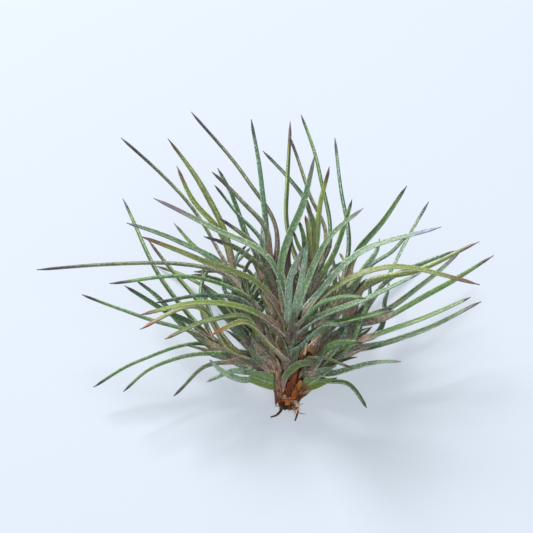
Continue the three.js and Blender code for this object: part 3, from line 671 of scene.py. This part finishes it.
def has_room(leaf, strands):
    if leaf.seen:
        return True
    if sharpest_bend(leaf.points) > SHARPEST_BEND:
        return False
    for other in strands:
        if other.shoot is leaf.shoot:
            continue
        distance = np.linalg.norm(leaf.points[:, None] - other.points[None], axis=-1)
        room = leaf.room[:, None] + other.room[None] + LEAF_GAP - CROWDED
        if (distance < room).any():
            return False
    return True


def smooth_line(points, count):
    """Points along a smooth curve through the given ones."""
    before = np.vstack([2 * points[:1] - points[1:2], points[:-1]])
    after = np.vstack([points[1:], 2 * points[-1:] - points[-2:-1]])
    slope = (after - before) / 2
    t = np.linspace(0, len(points) - 1, count)
    i = np.minimum(t.astype(int), len(points) - 2)
    f = (t - i)[:, None]
    blend = smoothstep(f, 0, 1)
    straight = mix(points[i], points[i + 1], blend)
    return straight + slope[i] * f * (1 - f) ** 2 - slope[i + 1] * f * f * (1 - f)


def make_piece(name, points, faces, material):
    """A mesh through points of the plant's own frame, none of them under the surface."""
    points = to_frame(points)
    points[:, 2] = np.maximum(points[:, 2], 0)
    mesh = bpy.data.meshes.new(name)
    mesh.from_pydata(points.tolist(), [], faces)
    mesh.materials.append(material)
    piece = bpy.data.objects.new(name, mesh)
    bpy.context.scene.collection.objects.link(piece)
    return piece


class Surface:
    """Closed swept surfaces gathered into one mesh, with values on their points."""

    def __init__(self):
        self.points, self.faces, self.values, self.count = [], [], {}, 0

    def add(self, grid, **values):
        """A grid of rings, each of points round the section. The ends are closed."""
        rings, sides, _ = grid.shape
        ends = grid[[0, -1]].mean(1)
        points = np.concatenate([grid.reshape(-1, 3), ends])
        ring = np.arange(rings - 1)[:, None] * sides
        side = np.arange(sides)[None]
        after = (side + 1) % sides
        quads = np.stack([ring + side, ring + sides + side, ring + sides + after, ring + after], -1)
        self.faces += (quads.reshape(-1, 4) + self.count).tolist()
        first, last = rings * sides, rings * sides + 1
        end_ring = (rings - 1) * sides
        for k in range(sides):
            following = (k + 1) % sides
            self.faces.append([self.count + n for n in (first, k, following)])
            self.faces.append([self.count + n for n in (last, end_ring + following, end_ring + k)])
        self.points.append(points)
        self.count += len(points)
        for name, value in values.items():
            value = np.asarray(value, float)
            if value.ndim == 1:
                value = np.broadcast_to(value, (rings, sides, len(value)))
            flat = value.reshape(rings * sides, -1)
            self.values.setdefault(name, []).append(np.vstack([flat, value[[0, -1]].mean(1)]))

    def make(self, name, material):
        piece = make_piece(name, np.concatenate(self.points), self.faces, material)
        mesh = piece.data
        for key, parts in self.values.items():
            attribute = mesh.attributes.new(key, "FLOAT_VECTOR", "POINT")
            attribute.data.foreach_set("vector", np.concatenate(parts).astype(np.float32).ravel())
        mesh.polygons.foreach_set("use_smooth", [True] * len(mesh.polygons))
        mesh.validate()
        return piece


def add_frames(line, axis, radial):
    """Directions across a blade and out of its groove, at each point of its line."""
    tangent = unit(np.gradient(line, axis=0))
    inner = axis * (tangent @ radial)[:, None] - radial * (tangent @ axis)[:, None]
    inner = unit(inner - tangent * (inner * tangent).sum(1, keepdims=True))
    return np.cross(tangent, inner), inner


def blade_grid(line, axis, radial, half_width, channel, thickness, twist):
    """Rings of a channelled blade. Angle 0 is one margin, a quarter turn the groove."""
    across, inner = add_frames(line, axis, radial)
    cos, sin = np.cos(twist)[:, None], np.sin(twist)[:, None]
    across, inner = across * cos + inner * sin, inner * cos - across * sin
    angle = 2 * math.pi * np.arange(SIDES) / SIDES
    x = half_width[:, None] * np.cos(angle)
    rise = (channel * half_width)[:, None] * np.abs(np.cos(angle)) ** MARGIN_CURL
    y = rise + thickness[:, None] * np.sin(angle)
    grid = line[:, None] + x[..., None] * across[:, None] + y[..., None] * inner[:, None]
    return grid, x


def fine_leaf(leaf, random):
    """Grid of a leaf and the values that colour it."""
    along = np.linspace(0, 1, RINGS)
    line = smooth_line(leaf.points, RINGS)
    _, _, axis = shoot_axis(leaf.shoot)
    radial = square_to(axis, line[-1] - line[0])
    across, inner = add_frames(line, axis, radial)
    side_phase, depth_phase, width_phase, _ = random.uniform(0, 2 * math.pi, 4)
    sway = WOBBLE * smoothstep(along, 0.15, 0.6)
    if leaf.fixed:
        sway = 0 * sway
    ways = zip(SWAY_SHARES, SWAY_WAVES, (side_phase, depth_phase), (across, inner))
    for share, wave, phase, way in ways:
        line = line + (share * sway * np.sin(wave * along + phase))[:, None] * way
    point = smoothstep(along, POINT_AT, 1)
    half_width = leaf.shoot.width * blade_half_width(along)
    half_width = half_width * (1 + WIDTH_CHANGE * np.sin(WIDTH_WAVE * along + width_phase))
    narrowing = INNER_NARROWING * smoothstep(leaf.start, 0.55, 0.85)
    half_width = half_width * (1 - narrowing * (1 - smoothstep(along, 0.1, 0.42)))
    if leaf.look == "D":
        half_width = half_width * DRIED_WIDTH
    half_width = mix(half_width, POINT_HALF_WIDTH, point)
    thickness = HALF_THICKNESS * mix(1.0, 0.3, point ** 2)
    channel = CHANNEL * mix(SHEATH_CURL, 1.0, smoothstep(along, SHEATH_AT, BLADE_AT))
    twist = random.uniform(-0.25, 0.25) * smoothstep(along, 0.3, 1)
    grid, x = blade_grid(line, axis, radial, half_width, channel, thickness, twist)
    return grid, x, along, length_of(line)


def blade_values(x, along, length, seed, look, random):
    """Values on a blade's points: its own coordinates, its colours and its cover of scales."""
    body, tip, tip_from, cover, sheath_end = look
    shade = random.uniform(0.84, 1.14)
    tint = np.array(colour(body)) * shade * random.uniform(0.92, 1.08, 3)
    place = np.stack([x, np.broadcast_to((along * length)[:, None], x.shape),
                      np.full(x.shape, seed)], -1)
    tip_from = tip_from + random.uniform(-0.06, 0.04)
    cover = cover * random.uniform(0.8, 1.15)
    sheath_end = sheath_end * random.uniform(0.6, 1.5)
    state = np.stack([np.broadcast_to(along[:, None], x.shape), np.full(x.shape, tip_from),
                      np.full(x.shape, cover)], -1)
    edge = np.abs(x) / np.maximum(np.abs(x).max(axis=1, keepdims=True), 1e-6)
    inside = np.broadcast_to(np.sin(2 * math.pi * np.arange(x.shape[1]) / x.shape[1]), x.shape)
    section = np.stack([edge, inside, np.full(x.shape, sheath_end)], -1)
    return {"place": place, "state": state, "section": section, "tint": tint,
            "tip_tint": np.array(colour(tip))}


def cuffs(shoot, random):
    """Old broad sheaths that wrap a shoot's core, from the stem up past its crown."""
    base, crown, axis = shoot_axis(shoot)
    side, out = sides_of(axis)
    reach = np.linalg.norm(crown - base)
    count = round(reach / CUFF_STEP)
    for index in range(count):
        turn = index * GOLDEN_ANGLE + random.uniform(-0.4, 0.4)
        radial = side * math.cos(turn) + out * math.sin(turn)
        start = mix(base, crown, CUFF_FROM + CUFF_REACH * index / count)
        length = random.uniform(*CUFF_LENGTH)
        along = np.linspace(0, 1, CUFF_RINGS)
        out_by = 0.9 + 0.95 * smoothstep(along, 0, 0.3) + random.uniform(0.3, 2.2) * along ** 2.4
        line = start + axis * (along * length)[:, None] + radial * out_by[:, None]
        half_width = mix(*CUFF_HALF_WIDTHS, along ** 1.4) * random.uniform(0.8, 1.1)
        channel = np.full(CUFF_RINGS, CHANNEL)
        thickness = mix(*CUFF_THICKNESS, along)
        grid, x = blade_grid(line, axis, radial, half_width, channel, thickness, 0 * along)
        # the cuff keeps to the sheath's part of the colours
        yield grid, x, CUFF_SHARE * along, length / CUFF_SHARE


def short_leaf(corners, widths, random):
    """Grid of a short leaf through the points given."""
    rings = 34
    along = np.linspace(0, 1, rings)
    line = smooth_line(centre_line(corners), rings)
    half_width = read_off(along, widths)
    thickness = HALF_THICKNESS * mix(1.0, 0.5, along)
    axis = unit(line[-1] - line[0])
    radial = square_to(axis, np.array([0.0, 0.0, -1.0]))
    twist = random.uniform(-0.2, 0.2) * along
    grid, x = blade_grid(line, axis, radial, half_width, np.full(rings, 0.5), thickness, twist)
    return grid, x, along, length_of(line)


def core_grid(shoot, random):
    base, crown, _ = shoot_axis(shoot)
    rings, sides = 16, 12
    along = np.linspace(0, 1, rings)
    line = mix(base, crown, along[:, None])
    return tube_grid(line, read_off(along, CORE_RADII), sides, 0.08, random)


def tube_grid(line, radius, sides, rough, random):
    """Rings of a round stretch along a line, roughened by draws."""
    tangent = unit(np.gradient(line, axis=0))
    helper = np.array([0.0, 0.0, 1.0]) if abs(tangent[0, 2]) < 0.9 else np.array([1.0, 0.0, 0.0])
    side = unit(np.cross(tangent, helper))
    out = np.cross(side, tangent)
    angle = 2 * math.pi * np.arange(sides) / sides
    bumps = 1 + rough * random.uniform(-1, 1, (len(line), sides))
    reach = radius[:, None] * bumps
    grid = line[:, None] + (reach * np.cos(angle))[..., None] * side[:, None]
    return grid + (reach * np.sin(angle))[..., None] * out[:, None]


def unrolled(grid, half_width):
    """Places across the surface of a round stretch."""
    return np.broadcast_to(np.linspace(-half_width, half_width, grid.shape[1]), grid.shape[:2])


def hairs_on(grid, along, cover, random):
    """Corners of the slim scales and hairs that stand a little off a blade."""
    rings, sides, _ = grid.shape
    du = np.roll(grid, -1, 1) - grid
    dv = np.gradient(grid, axis=0)
    normal = unit(np.cross(dv, du))
    centre = grid.mean(1, keepdims=True)
    flip = ((grid - centre) * normal).sum(-1, keepdims=True).mean() < 0
    normal = -normal if flip else normal
    area = np.linalg.norm(np.cross(du, dv), axis=-1)
    to_margin = np.abs(np.cos(2 * math.pi * (np.arange(sides) + 0.5) / sides)) ** 4
    density = cover * mix(*HAIRS_ALONG, smoothstep(along, 0.1, 0.7))[:, None]
    density = density * mix(*HAIRS_ACROSS, to_margin)
    weight = (area * density)[1:-2].ravel()
    count = int(weight.sum() * HAIRS_PER_MM2)
    if count == 0:
        return np.empty((0, 4, 3))
    chosen = random.choice(len(weight), count, p=weight / weight.sum())
    ring, side = chosen // sides + 1, chosen % sides
    u, v = random.uniform(0, 1, (2, count, 1))
    root = grid[ring, side] + u * du[ring, side] + v * (grid[ring + 1, side] - grid[ring, side])
    up = normal[ring, side]
    ahead = unit(dv[ring, side])
    lean = unit(ahead + random.normal(0, HAIR_LEAN, (count, 3)))
    rise = random.uniform(*HAIR_RISE, (count, 1))
    aim = unit(lean + rise * up)
    big = mix(*HAIR_SIZES, smoothstep(along[ring], 0.1, 0.5))[:, None]
    length = big * random.uniform(*HAIR_LENGTH, (count, 1))
    wide = unit(np.cross(aim, up)) * big * random.uniform(*HAIR_HALF_WIDTH, (count, 1))
    heel = root - HAIR_DEPTH * up
    back = heel + HAIR_THICKNESS * up
    return np.stack([heel - wide, heel + wide, back, heel + length * aim], 1)


def make_hairs(name, corners, material):
    """Closed flakes of four corners each, as one mesh."""
    faces = 4 * np.arange(len(corners))[:, None, None] + np.array(FLAKE_FACES)
    return make_piece(name, corners.reshape(-1, 3), faces.reshape(-1, 3).tolist(), material)


def feed(tree, node, inputs):
    """Links or sets a node's inputs."""
    for key, value in inputs.items():
        if isinstance(value, bpy.types.NodeSocket):
            tree.links.new(value, node.inputs[key])
        else:
            node.inputs[key].default_value = value


def add_node(tree, kind, inputs=None, **properties):
    node = tree.nodes.new("ShaderNode" + kind)
    for name, value in properties.items():
        setattr(node, name, value)
    feed(tree, node, inputs or {})
    return node


def stored(tree, name, output="Vector"):
    """A value kept on the points of a piece."""
    return add_node(tree, "Attribute", attribute_name=name).outputs[output]


def split(tree, vector):
    return add_node(tree, "SeparateXYZ", {0: vector}).outputs


def calculate(tree, operation, a, b):
    return add_node(tree, "Math", {0: a, 1: b}, operation=operation).outputs[0]


def product(tree, first, *factors):
    for factor in factors:
        first = calculate(tree, "MULTIPLY", first, factor)
    return first


def ease(tree, value, low, high, to_low=0.0, to_high=1.0):
    """Value from low to high, eased to the range given."""
    inputs = {"Value": value, "From Min": low, "From Max": high, "To Min": to_low, "To Max": to_high}
    return add_node(tree, "MapRange", inputs, interpolation_type="SMOOTHSTEP").outputs[0]


def blend(tree, share, a, b, kind="MIX"):
    """A share of one colour over another, each a socket, linear values or six digits."""
    a, b = ((*colour(c), 1) if isinstance(c, str) else c for c in (a, b))
    return add_node(tree, "Mix", {0: share, 6: a, 7: b}, data_type="RGBA", blend_type=kind).outputs[2]


def noise(tree, vector, scale=1.0, detail=3.0):
    inputs = {"Vector": vector, "Scale": scale, "Detail": detail, "Roughness": 0.55}
    return add_node(tree, "TexNoise", inputs).outputs["Fac"]


def stretched(tree, vector, x, y, z=1):
    return add_node(tree, "Mapping", {"Vector": vector, "Scale": (x, y, z)}).outputs[0]


def new_material(name):
    material = bpy.data.materials.new(name)
    material.use_nodes = True
    tree = material.node_tree
    return material, tree, tree.nodes["Principled BSDF"]


def bump(tree, height, distance):
    inputs = {"Height": height, "Distance": distance, "Strength": 1.0}
    return add_node(tree, "Bump", inputs).outputs[0]


def leaf_material():
    """Green blade under silvery scales, brown and purple sheath, dark tip, and painted shade in the
    groove.
    """
    material, tree, shader = new_material("leaf")
    place = stored(tree, "place")
    tint = stored(tree, "tint", "Color")
    tip_tint = stored(tree, "tip_tint", "Color")
    along, tip_from, cover = split(tree, stored(tree, "state"))
    edge, inside, sheath_end = split(tree, stored(tree, "section"))

    mottle = noise(tree, stretched(tree, place, 0.9, 0.22))
    fine = noise(tree, stretched(tree, place, 3.0, 1.2))
    streaks = noise(tree, stretched(tree, place, 7.0, 0.18), detail=2.0)

    # darker in random mottled patches, and on the groove face as painted shade in the recess
    mottled_and_shaded_tint = blend(tree, 1.0, tint, MOTTLE_AND_PAINTED_GROOVE_SHADE, "MULTIPLY")
    painted_groove_shade = ease(tree, inside, 0.0, 0.85, 0, 0.95)
    shade = calculate(tree, "MAXIMUM", ease(tree, mottle, 0.64, 0.36, 0, 0.8), painted_groove_shade)
    blade = blend(tree, shade, tint, mottled_and_shaded_tint)
    blade = blend(tree, ease(tree, streaks, 0.5, 0.72, 0, 0.4), blade, "a8a84c")

    sheath = blend(tree, ease(tree, streaks, 0.38, 0.6), "6a4458", "8e7644")
    sheath = blend(tree, ease(tree, fine, 0.52, 0.66, 0, 0.5), sheath, "bfa690")
    low = calculate(tree, "ADD", along, product(tree, mottle, 0.12))
    past = calculate(tree, "SUBTRACT", low, sheath_end)
    blade = blend(tree, ease(tree, past, 0.0, 0.14), sheath, blade)
    blade = blend(tree, ease(tree, low, 0.07, 0.16), "ac8048", blade)

    late = calculate(tree, "ADD", along, product(tree, fine, 0.06))
    late = calculate(tree, "SUBTRACT", late, tip_from)
    late = calculate(tree, "DIVIDE", late, calculate(tree, "SUBTRACT", 1.04, tip_from))
    tipped = ease(tree, late, 0.0, 0.6)
    blade = blend(tree, tipped, blade, tip_tint)

    cells = add_node(tree, "TexVoronoi", {
        "Vector": stretched(tree, place, 3.6, 2.6), "Scale": 1.0, "Randomness": 0.9,
    })
    drawn = add_node(tree, "SeparateColor", {0: cells.outputs["Color"]}).outputs[0]
    spots = ease(tree, cells.outputs["Distance"], 0.56, 0.2)
    grain = product(tree, ease(tree, drawn, 0.4, 0.8, 0.0, 1.7), spots)
    patches = ease(tree, fine, 0.3, 0.62, 0.4, 1.0)
    bare = calculate(tree, "SUBTRACT", 1.0, product(tree, tipped, 0.75))
    # fewer scales on the groove face, which also lets the painted shade there show through the silver
    silver_thinned_in_shaded_groove = ease(tree, inside, 0.0, 0.85, 1, 0.55)
    silver = product(tree, cover, patches, silver_thinned_in_shaded_groove, ease(tree, grain, 0, 1.2, 0.3, 2.2))
    dots = noise(tree, stretched(tree, place, 0.6, 4.5), detail=1.0)
    dots = ease(tree, dots, 0.44, 0.58, 0.25, 1)
    margin = ease(tree, edge, 0.72, 0.96, 0, 1.2)
    lined = product(tree, margin, dots, calculate(tree, "POWER", cover, 0.6), patches)
    silver = product(tree, calculate(tree, "MAXIMUM", silver, lined), bare)
    blade = blend(tree, silver, blade, "c8d6c8")

    height = calculate(tree, "ADD", product(tree, spots, 0.6), streaks)
    feed(tree, shader, {
        "Base Color": blade, "Roughness": ease(tree, silver, 0, 0.8, 0.38, 0.7),
        "Specular IOR Level": 0.5, "Normal": bump(tree, height, 0.00008),
    })
    return material


def hair_material():
    material, tree, shader = new_material("leaf_hair")
    position = add_node(tree, "NewGeometry").outputs["Position"]
    tone = ease(tree, noise(tree, position, 900.0, 1.0), 0.3, 0.7)
    shade = blend(tree, tone, "b9bda6", "f2f4ee")
    feed(tree, shader, {"Base Color": shade, "Roughness": 0.65})
    return material


def dead_material():
    """Dry papery sheath: orange-brown with darker veins and paler, bleached tips."""
    material, tree, shader = new_material("dead_sheath")
    place = stored(tree, "place")
    tint = stored(tree, "tint", "Color")
    tip_tint = stored(tree, "tip_tint", "Color")
    along = split(tree, stored(tree, "state"))[0]
    veins = noise(tree, stretched(tree, place, 9.0, 0.5), detail=2.0)
    mottle = noise(tree, stretched(tree, place, 0.8, 0.5))
    body = blend(tree, ease(tree, mottle, 0.38, 0.62), "5a2a12", tint)
    body = blend(tree, ease(tree, veins, 0.48, 0.62, 0, 0.75), body, "35190d")
    body = blend(tree, ease(tree, along, 0.5, 1.0, 0, 0.6), body, tip_tint)
    feed(tree, shader, {
        "Base Color": body, "Roughness": ease(tree, mottle, 0.3, 0.7, 0.5, 0.8),
        "Specular IOR Level": 0.35, "Normal": bump(tree, veins, 0.00015),
    })
    return material


def stem_material():
    """Dark woody stem, cracked, with paler fibres where it broke."""
    material, tree, shader = new_material("stem")
    position = add_node(tree, "NewGeometry").outputs["Position"]
    grain = noise(tree, stretched(tree, position, 900, 300, 300))
    lumps = noise(tree, position, 420.0)
    body = blend(tree, ease(tree, lumps, 0.35, 0.65), "2a1811", "6a4128")
    body = blend(tree, ease(tree, grain, 0.52, 0.7, 0, 0.5), body, "8c6246")
    feed(tree, shader, {
        "Base Color": body, "Roughness": 0.82, "Specular IOR Level": 0.25,
        "Normal": bump(tree, calculate(tree, "ADD", grain, lumps), 0.00035),
    })
    return material


def place_piece(piece, slot, *nodes):
    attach(piece, "root")
    if nodes:
        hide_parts(*nodes)


def make_shoot(shoot, leaves, leaf_look, hair_look, random):
    """Leaves, sheath cuffs and core of a shoot as one piece, and their hairs as another."""
    surface, hairs = Surface(), []
    seed = random.uniform(0, 400)
    grid = core_grid(shoot, random)
    along = np.linspace(0.1, 0.2, len(grid))
    # the core and cuffs take the cuff look, darkened as painted shade
    surface.add(grid, **blade_values(unrolled(grid, 3), along, 60, seed, CUFF_LOOK_DARKENED_AS_SHADE, random))
    blades = [(*fine_leaf(leaf, random), LOOKS[leaf.look]) for leaf in leaves]
    blades += [(*cuff, CUFF_LOOK_DARKENED_AS_SHADE) for cuff in cuffs(shoot, random)]
    for name, corners, widths, look in SHORT_PARTS:
        if name == shoot.name:
            blades.append((*short_leaf(corners, widths, random), LOOKS[look]))
    for grid, x, along, length, look in blades:
        seed += LEAF_STEP
        surface.add(grid, **blade_values(x, along, length, seed, look, random))
        *_, cover, _ = look
        hairs.append(hairs_on(grid, along, cover, random))
    piece = surface.make(shoot.name + "_leaves", leaf_look)
    place_piece(piece, "leaf", shoot.name)
    hair_piece = make_hairs(shoot.name + "_hairs", np.concatenate(hairs), hair_look)
    place_piece(hair_piece, "leaf")


def dead_blade(turn, start, length, spread, half_width, random):
    """Grid of a dry sheath that stands out of the collar, with a ragged, curled end."""
    radial = outward(turn)
    root = radial * (COLLAR_RADIUS + 0.5 * COLLAR_WALL) + ALONG_STEM * start
    tip = root + ALONG_STEM * length * math.cos(spread) + radial * length * math.sin(spread)
    middle = mix(root, tip, 0.5) + ALONG_STEM * DEAD_ARCH * length
    along = np.linspace(0, 1, 26)
    t = along[:, None]
    line = (1 - t) ** 2 * root + 2 * t * (1 - t) * middle + t * t * tip
    width = mix(half_width, 0.1, along ** 1.5)
    width = width * (1 + 0.3 * random.uniform(-1, 1, len(along)) * smoothstep(along, 0.3, 1))
    channel = mix(*DEAD_CHANNEL, along)
    thickness = mix(*DEAD_THICKNESS, along)
    twist = random.uniform(-0.5, 0.5) * along ** 2
    grid, x = blade_grid(line, ALONG_STEM, radial, width, channel, thickness, twist)
    return grid, x, along, length


def strip(index, random):
    """A strip that clasps the collar: what dead_blade takes, and its colours."""
    colours = STRIP_LOOKS[random.integers(len(STRIP_LOOKS))]
    start = random.uniform(*STRIP_START)
    length = random.uniform(*STRIP_LENGTH)
    spread = math.radians(random.uniform(*STRIP_SPREAD))
    return index * GOLDEN_ANGLE, start, length, spread, random.uniform(*STRIP_HALF_WIDTH), colours


def collar(random):
    """Grid of the dry sheaths close round the stem, with a ragged edge at the broken end."""
    line = np.linspace(*COLLAR_HEIGHTS, COLLAR_RINGS)[:, None] * ALONG_STEM
    grid = tube_grid(line, np.linspace(*COLLAR_RADII, COLLAR_RINGS), COLLAR_SIDES, 0.07, random)
    share = np.array(RAGGED_RINGS)[:, None, None]
    grid[:len(share)] += share * random.uniform(*RAGGED_BY, (1, COLLAR_SIDES, 1)) * ALONG_STEM
    return grid


def fibre(random):
    """Grid of a loose fibre that hangs out of the broken end, kept above the surface."""
    out = outward(random.uniform(0, 2 * math.pi))
    start = out * random.uniform(*FIBRE_FROM) - FIBRE_BELOW * ALONG_STEM
    middle = start + (random.normal(0, 0.7, 3) - 0.5 * ALONG_STEM) + 0.5 * out
    end = middle + random.normal(0, 0.8, 3)
    corners = [np.maximum(point, (-9, -9, depth_at_height(point[1], 0.35)))
               for point in (start, middle, end)]
    line = smooth_line(centre_line(corners), FIBRE_RINGS)
    return tube_grid(line, np.linspace(*FIBRE_RADII, FIBRE_RINGS), FIBRE_SIDES, 0.1, random)


def dry_parts(random):
    """Grid, places, length and colours of everything dry at the foot of the plant."""
    grid = collar(random)
    yield grid, unrolled(grid, 9), np.linspace(0, 0.4, COLLAR_RINGS), 4, COLLAR_COLOURS
    rows = [(math.radians(turn), start, length, math.radians(spread), DEAD_HALF_WIDTH, colours)
            for (turn, start, length, spread), colours in zip(DEAD_SHEATHS, DEAD_LOOKS)]
    rows += [strip(index, random) for index in range(STRIPS)]
    for *blade, colours in rows:
        yield *dead_blade(*blade, random), colours
    slivers = [(corners, SPLINTER_WIDTHS, SPLINTER_COLOURS) for corners in SPLINTERS]
    for corners, widths, colours in PAPERS + slivers:
        yield *short_leaf(corners, widths, random), colours
    for _ in range(FIBRES):
        grid = fibre(random)
        yield grid, unrolled(grid, 0.4), np.linspace(0, 1, FIBRE_RINGS), 3, FIBRE_COLOURS


def make_dead_sheaths(material, random):
    """Collar of dry sheaths, clasping strips round it and loose fibres at the broken end."""
    surface = Surface()
    seed = DRY_START
    for grid, x, along, length, colours in dry_parts(random):
        look = (*colours, 1, 0, 0)
        surface.add(grid, **blade_values(x, along, length, seed, look, random))
        seed += DRY_STEP
    piece = surface.make("dead_sheath_leaves", material)
    place_piece(piece, "dead_sheath", "dead_sheaths")


def make_stem(material, random):
    surface = Surface()
    rings, sides = 30, 36
    along = np.linspace(0, 1, rings)
    line = mix(STUMP_END, STEM_FORK, along[:, None])
    grid = tube_grid(line, read_off(along, STUMP_RADII), sides, 0.05, random)
    # the broken end is hollow, with a ragged rim
    rim = grid[0].copy()
    centre = rim.mean(0)
    grid[0] += random.uniform(-0.1, 0.9, len(rim))[:, None] * ALONG_STEM
    hollow = [centre + (rim - centre) * share + depth * ALONG_STEM for share, depth in HOLLOW]
    lip = centre + (grid[0] - centre) * LIP_SHARE
    surface.add(np.concatenate([[*hollow, lip], grid]))
    rings, sides = 12, 12
    for shoot in SHOOTS:
        base, _, direction = shoot_axis(shoot)
        seat = base + direction * ARM_SINK
        line = mix(STEM_FORK, seat, np.linspace(0, 1, rings)[:, None])
        surface.add(tube_grid(line, np.linspace(*ARM_RADII, rings), sides, 0.07, random))
    rings, sides = 40, 10
    for root in ROOTS:
        corners = [(x, y, depth_at_height(y, ROOT_HEIGHT) if i else 0.0)
                   for i, (x, y) in enumerate(root)]
        line = smooth_line(centre_line(corners), rings)
        radius = read_off(np.linspace(0, 1, rings), ROOT_RADII)
        surface.add(tube_grid(line, radius, sides, 0.14, random))
    piece = surface.make("stem_wood", material)
    place_piece(piece, "stem", "stem")


def make_stage():
    """Plain pale floor and soft light from the upper left."""
    bpy.ops.mesh.primitive_plane_add(size=FLOOR_SIZE)
    floor = bpy.context.object
    floor.name = "floor"
    material, tree, shader = new_material("floor")
    feed(tree, shader, {
        "Base Color": FLOOR_COLOUR, "Roughness": 0.9,
        "Emission Color": FLOOR_GLOW, "Emission Strength": FLOOR_GLOW_STRENGTH,
    })
    floor.data.materials.append(material)
    world = bpy.data.worlds.new("world")
    world.use_nodes = True
    background = world.node_tree.nodes["Background"]
    feed(world.node_tree, background, {"Color": SKY_COLOUR, "Strength": SKY_STRENGTH})
    bpy.context.scene.world = world
    for light in LIGHTS:
        add_light(*light)


def add_light(name, place, size, energy, tint):
    data = bpy.data.lights.new(name, "AREA")
    data.size, data.energy, data.color = size, energy, tint
    light = bpy.data.objects.new(name, data)
    light.location = place
    aim = np.array(LIGHTS_AIM) - np.array(place)
    across = math.hypot(aim[0], aim[1])
    light.rotation_euler = (math.atan2(across, -aim[2]), 0, math.atan2(-aim[0], aim[1]))
    bpy.context.scene.collection.objects.link(light)


def make_camera():
    """Camera square to the fan of leaves, so 53 degrees above the surface."""
    data = bpy.data.cameras.new("camera")
    data.sensor_width = SENSOR_WIDTH
    data.lens = SENSOR_WIDTH * VIEW_DISTANCE / VIEW_WIDTH
    camera = bpy.data.objects.new("camera", data)
    camera.location = to_frame((*VIEW_CENTRE, VIEW_DISTANCE))
    camera.rotation_euler = (LEAN, 0, 0)
    bpy.context.scene.collection.objects.link(camera)
    bpy.context.scene.camera = camera


def make_plant():
    strands = grow_leaves() + [core_strand(shoot) for shoot in SHOOTS]
    give_room(strands)
    bend_apart(strands)
    leaves = [strand for strand in strands if not strand.core and has_room(strand, strands)]
    for leaf in leaves:
        tip_x, tip_y, _ = leaf.points[-1]
        if not leaf.seen and abs(tip_x) < TUCKED_HALF_WIDTH and tip_y > TUCKED_ABOVE:
            leaf.points = smooth_line(leaf.points[:TUCKED_POINTS], SAMPLES)
    leaf_look, hair_look = leaf_material(), hair_material()
    random = np.random.default_rng(LOOK_SEED)
    for shoot in SHOOTS:
        own = [leaf for leaf in leaves if leaf.shoot is shoot]
        make_shoot(shoot, own, leaf_look, hair_look, random)
    make_dead_sheaths(dead_material(), random)
    make_stem(stem_material(), random)


make_camera()
make_stage()
make_plant()
bpy.context.scene.view_settings.view_transform = "Standard"
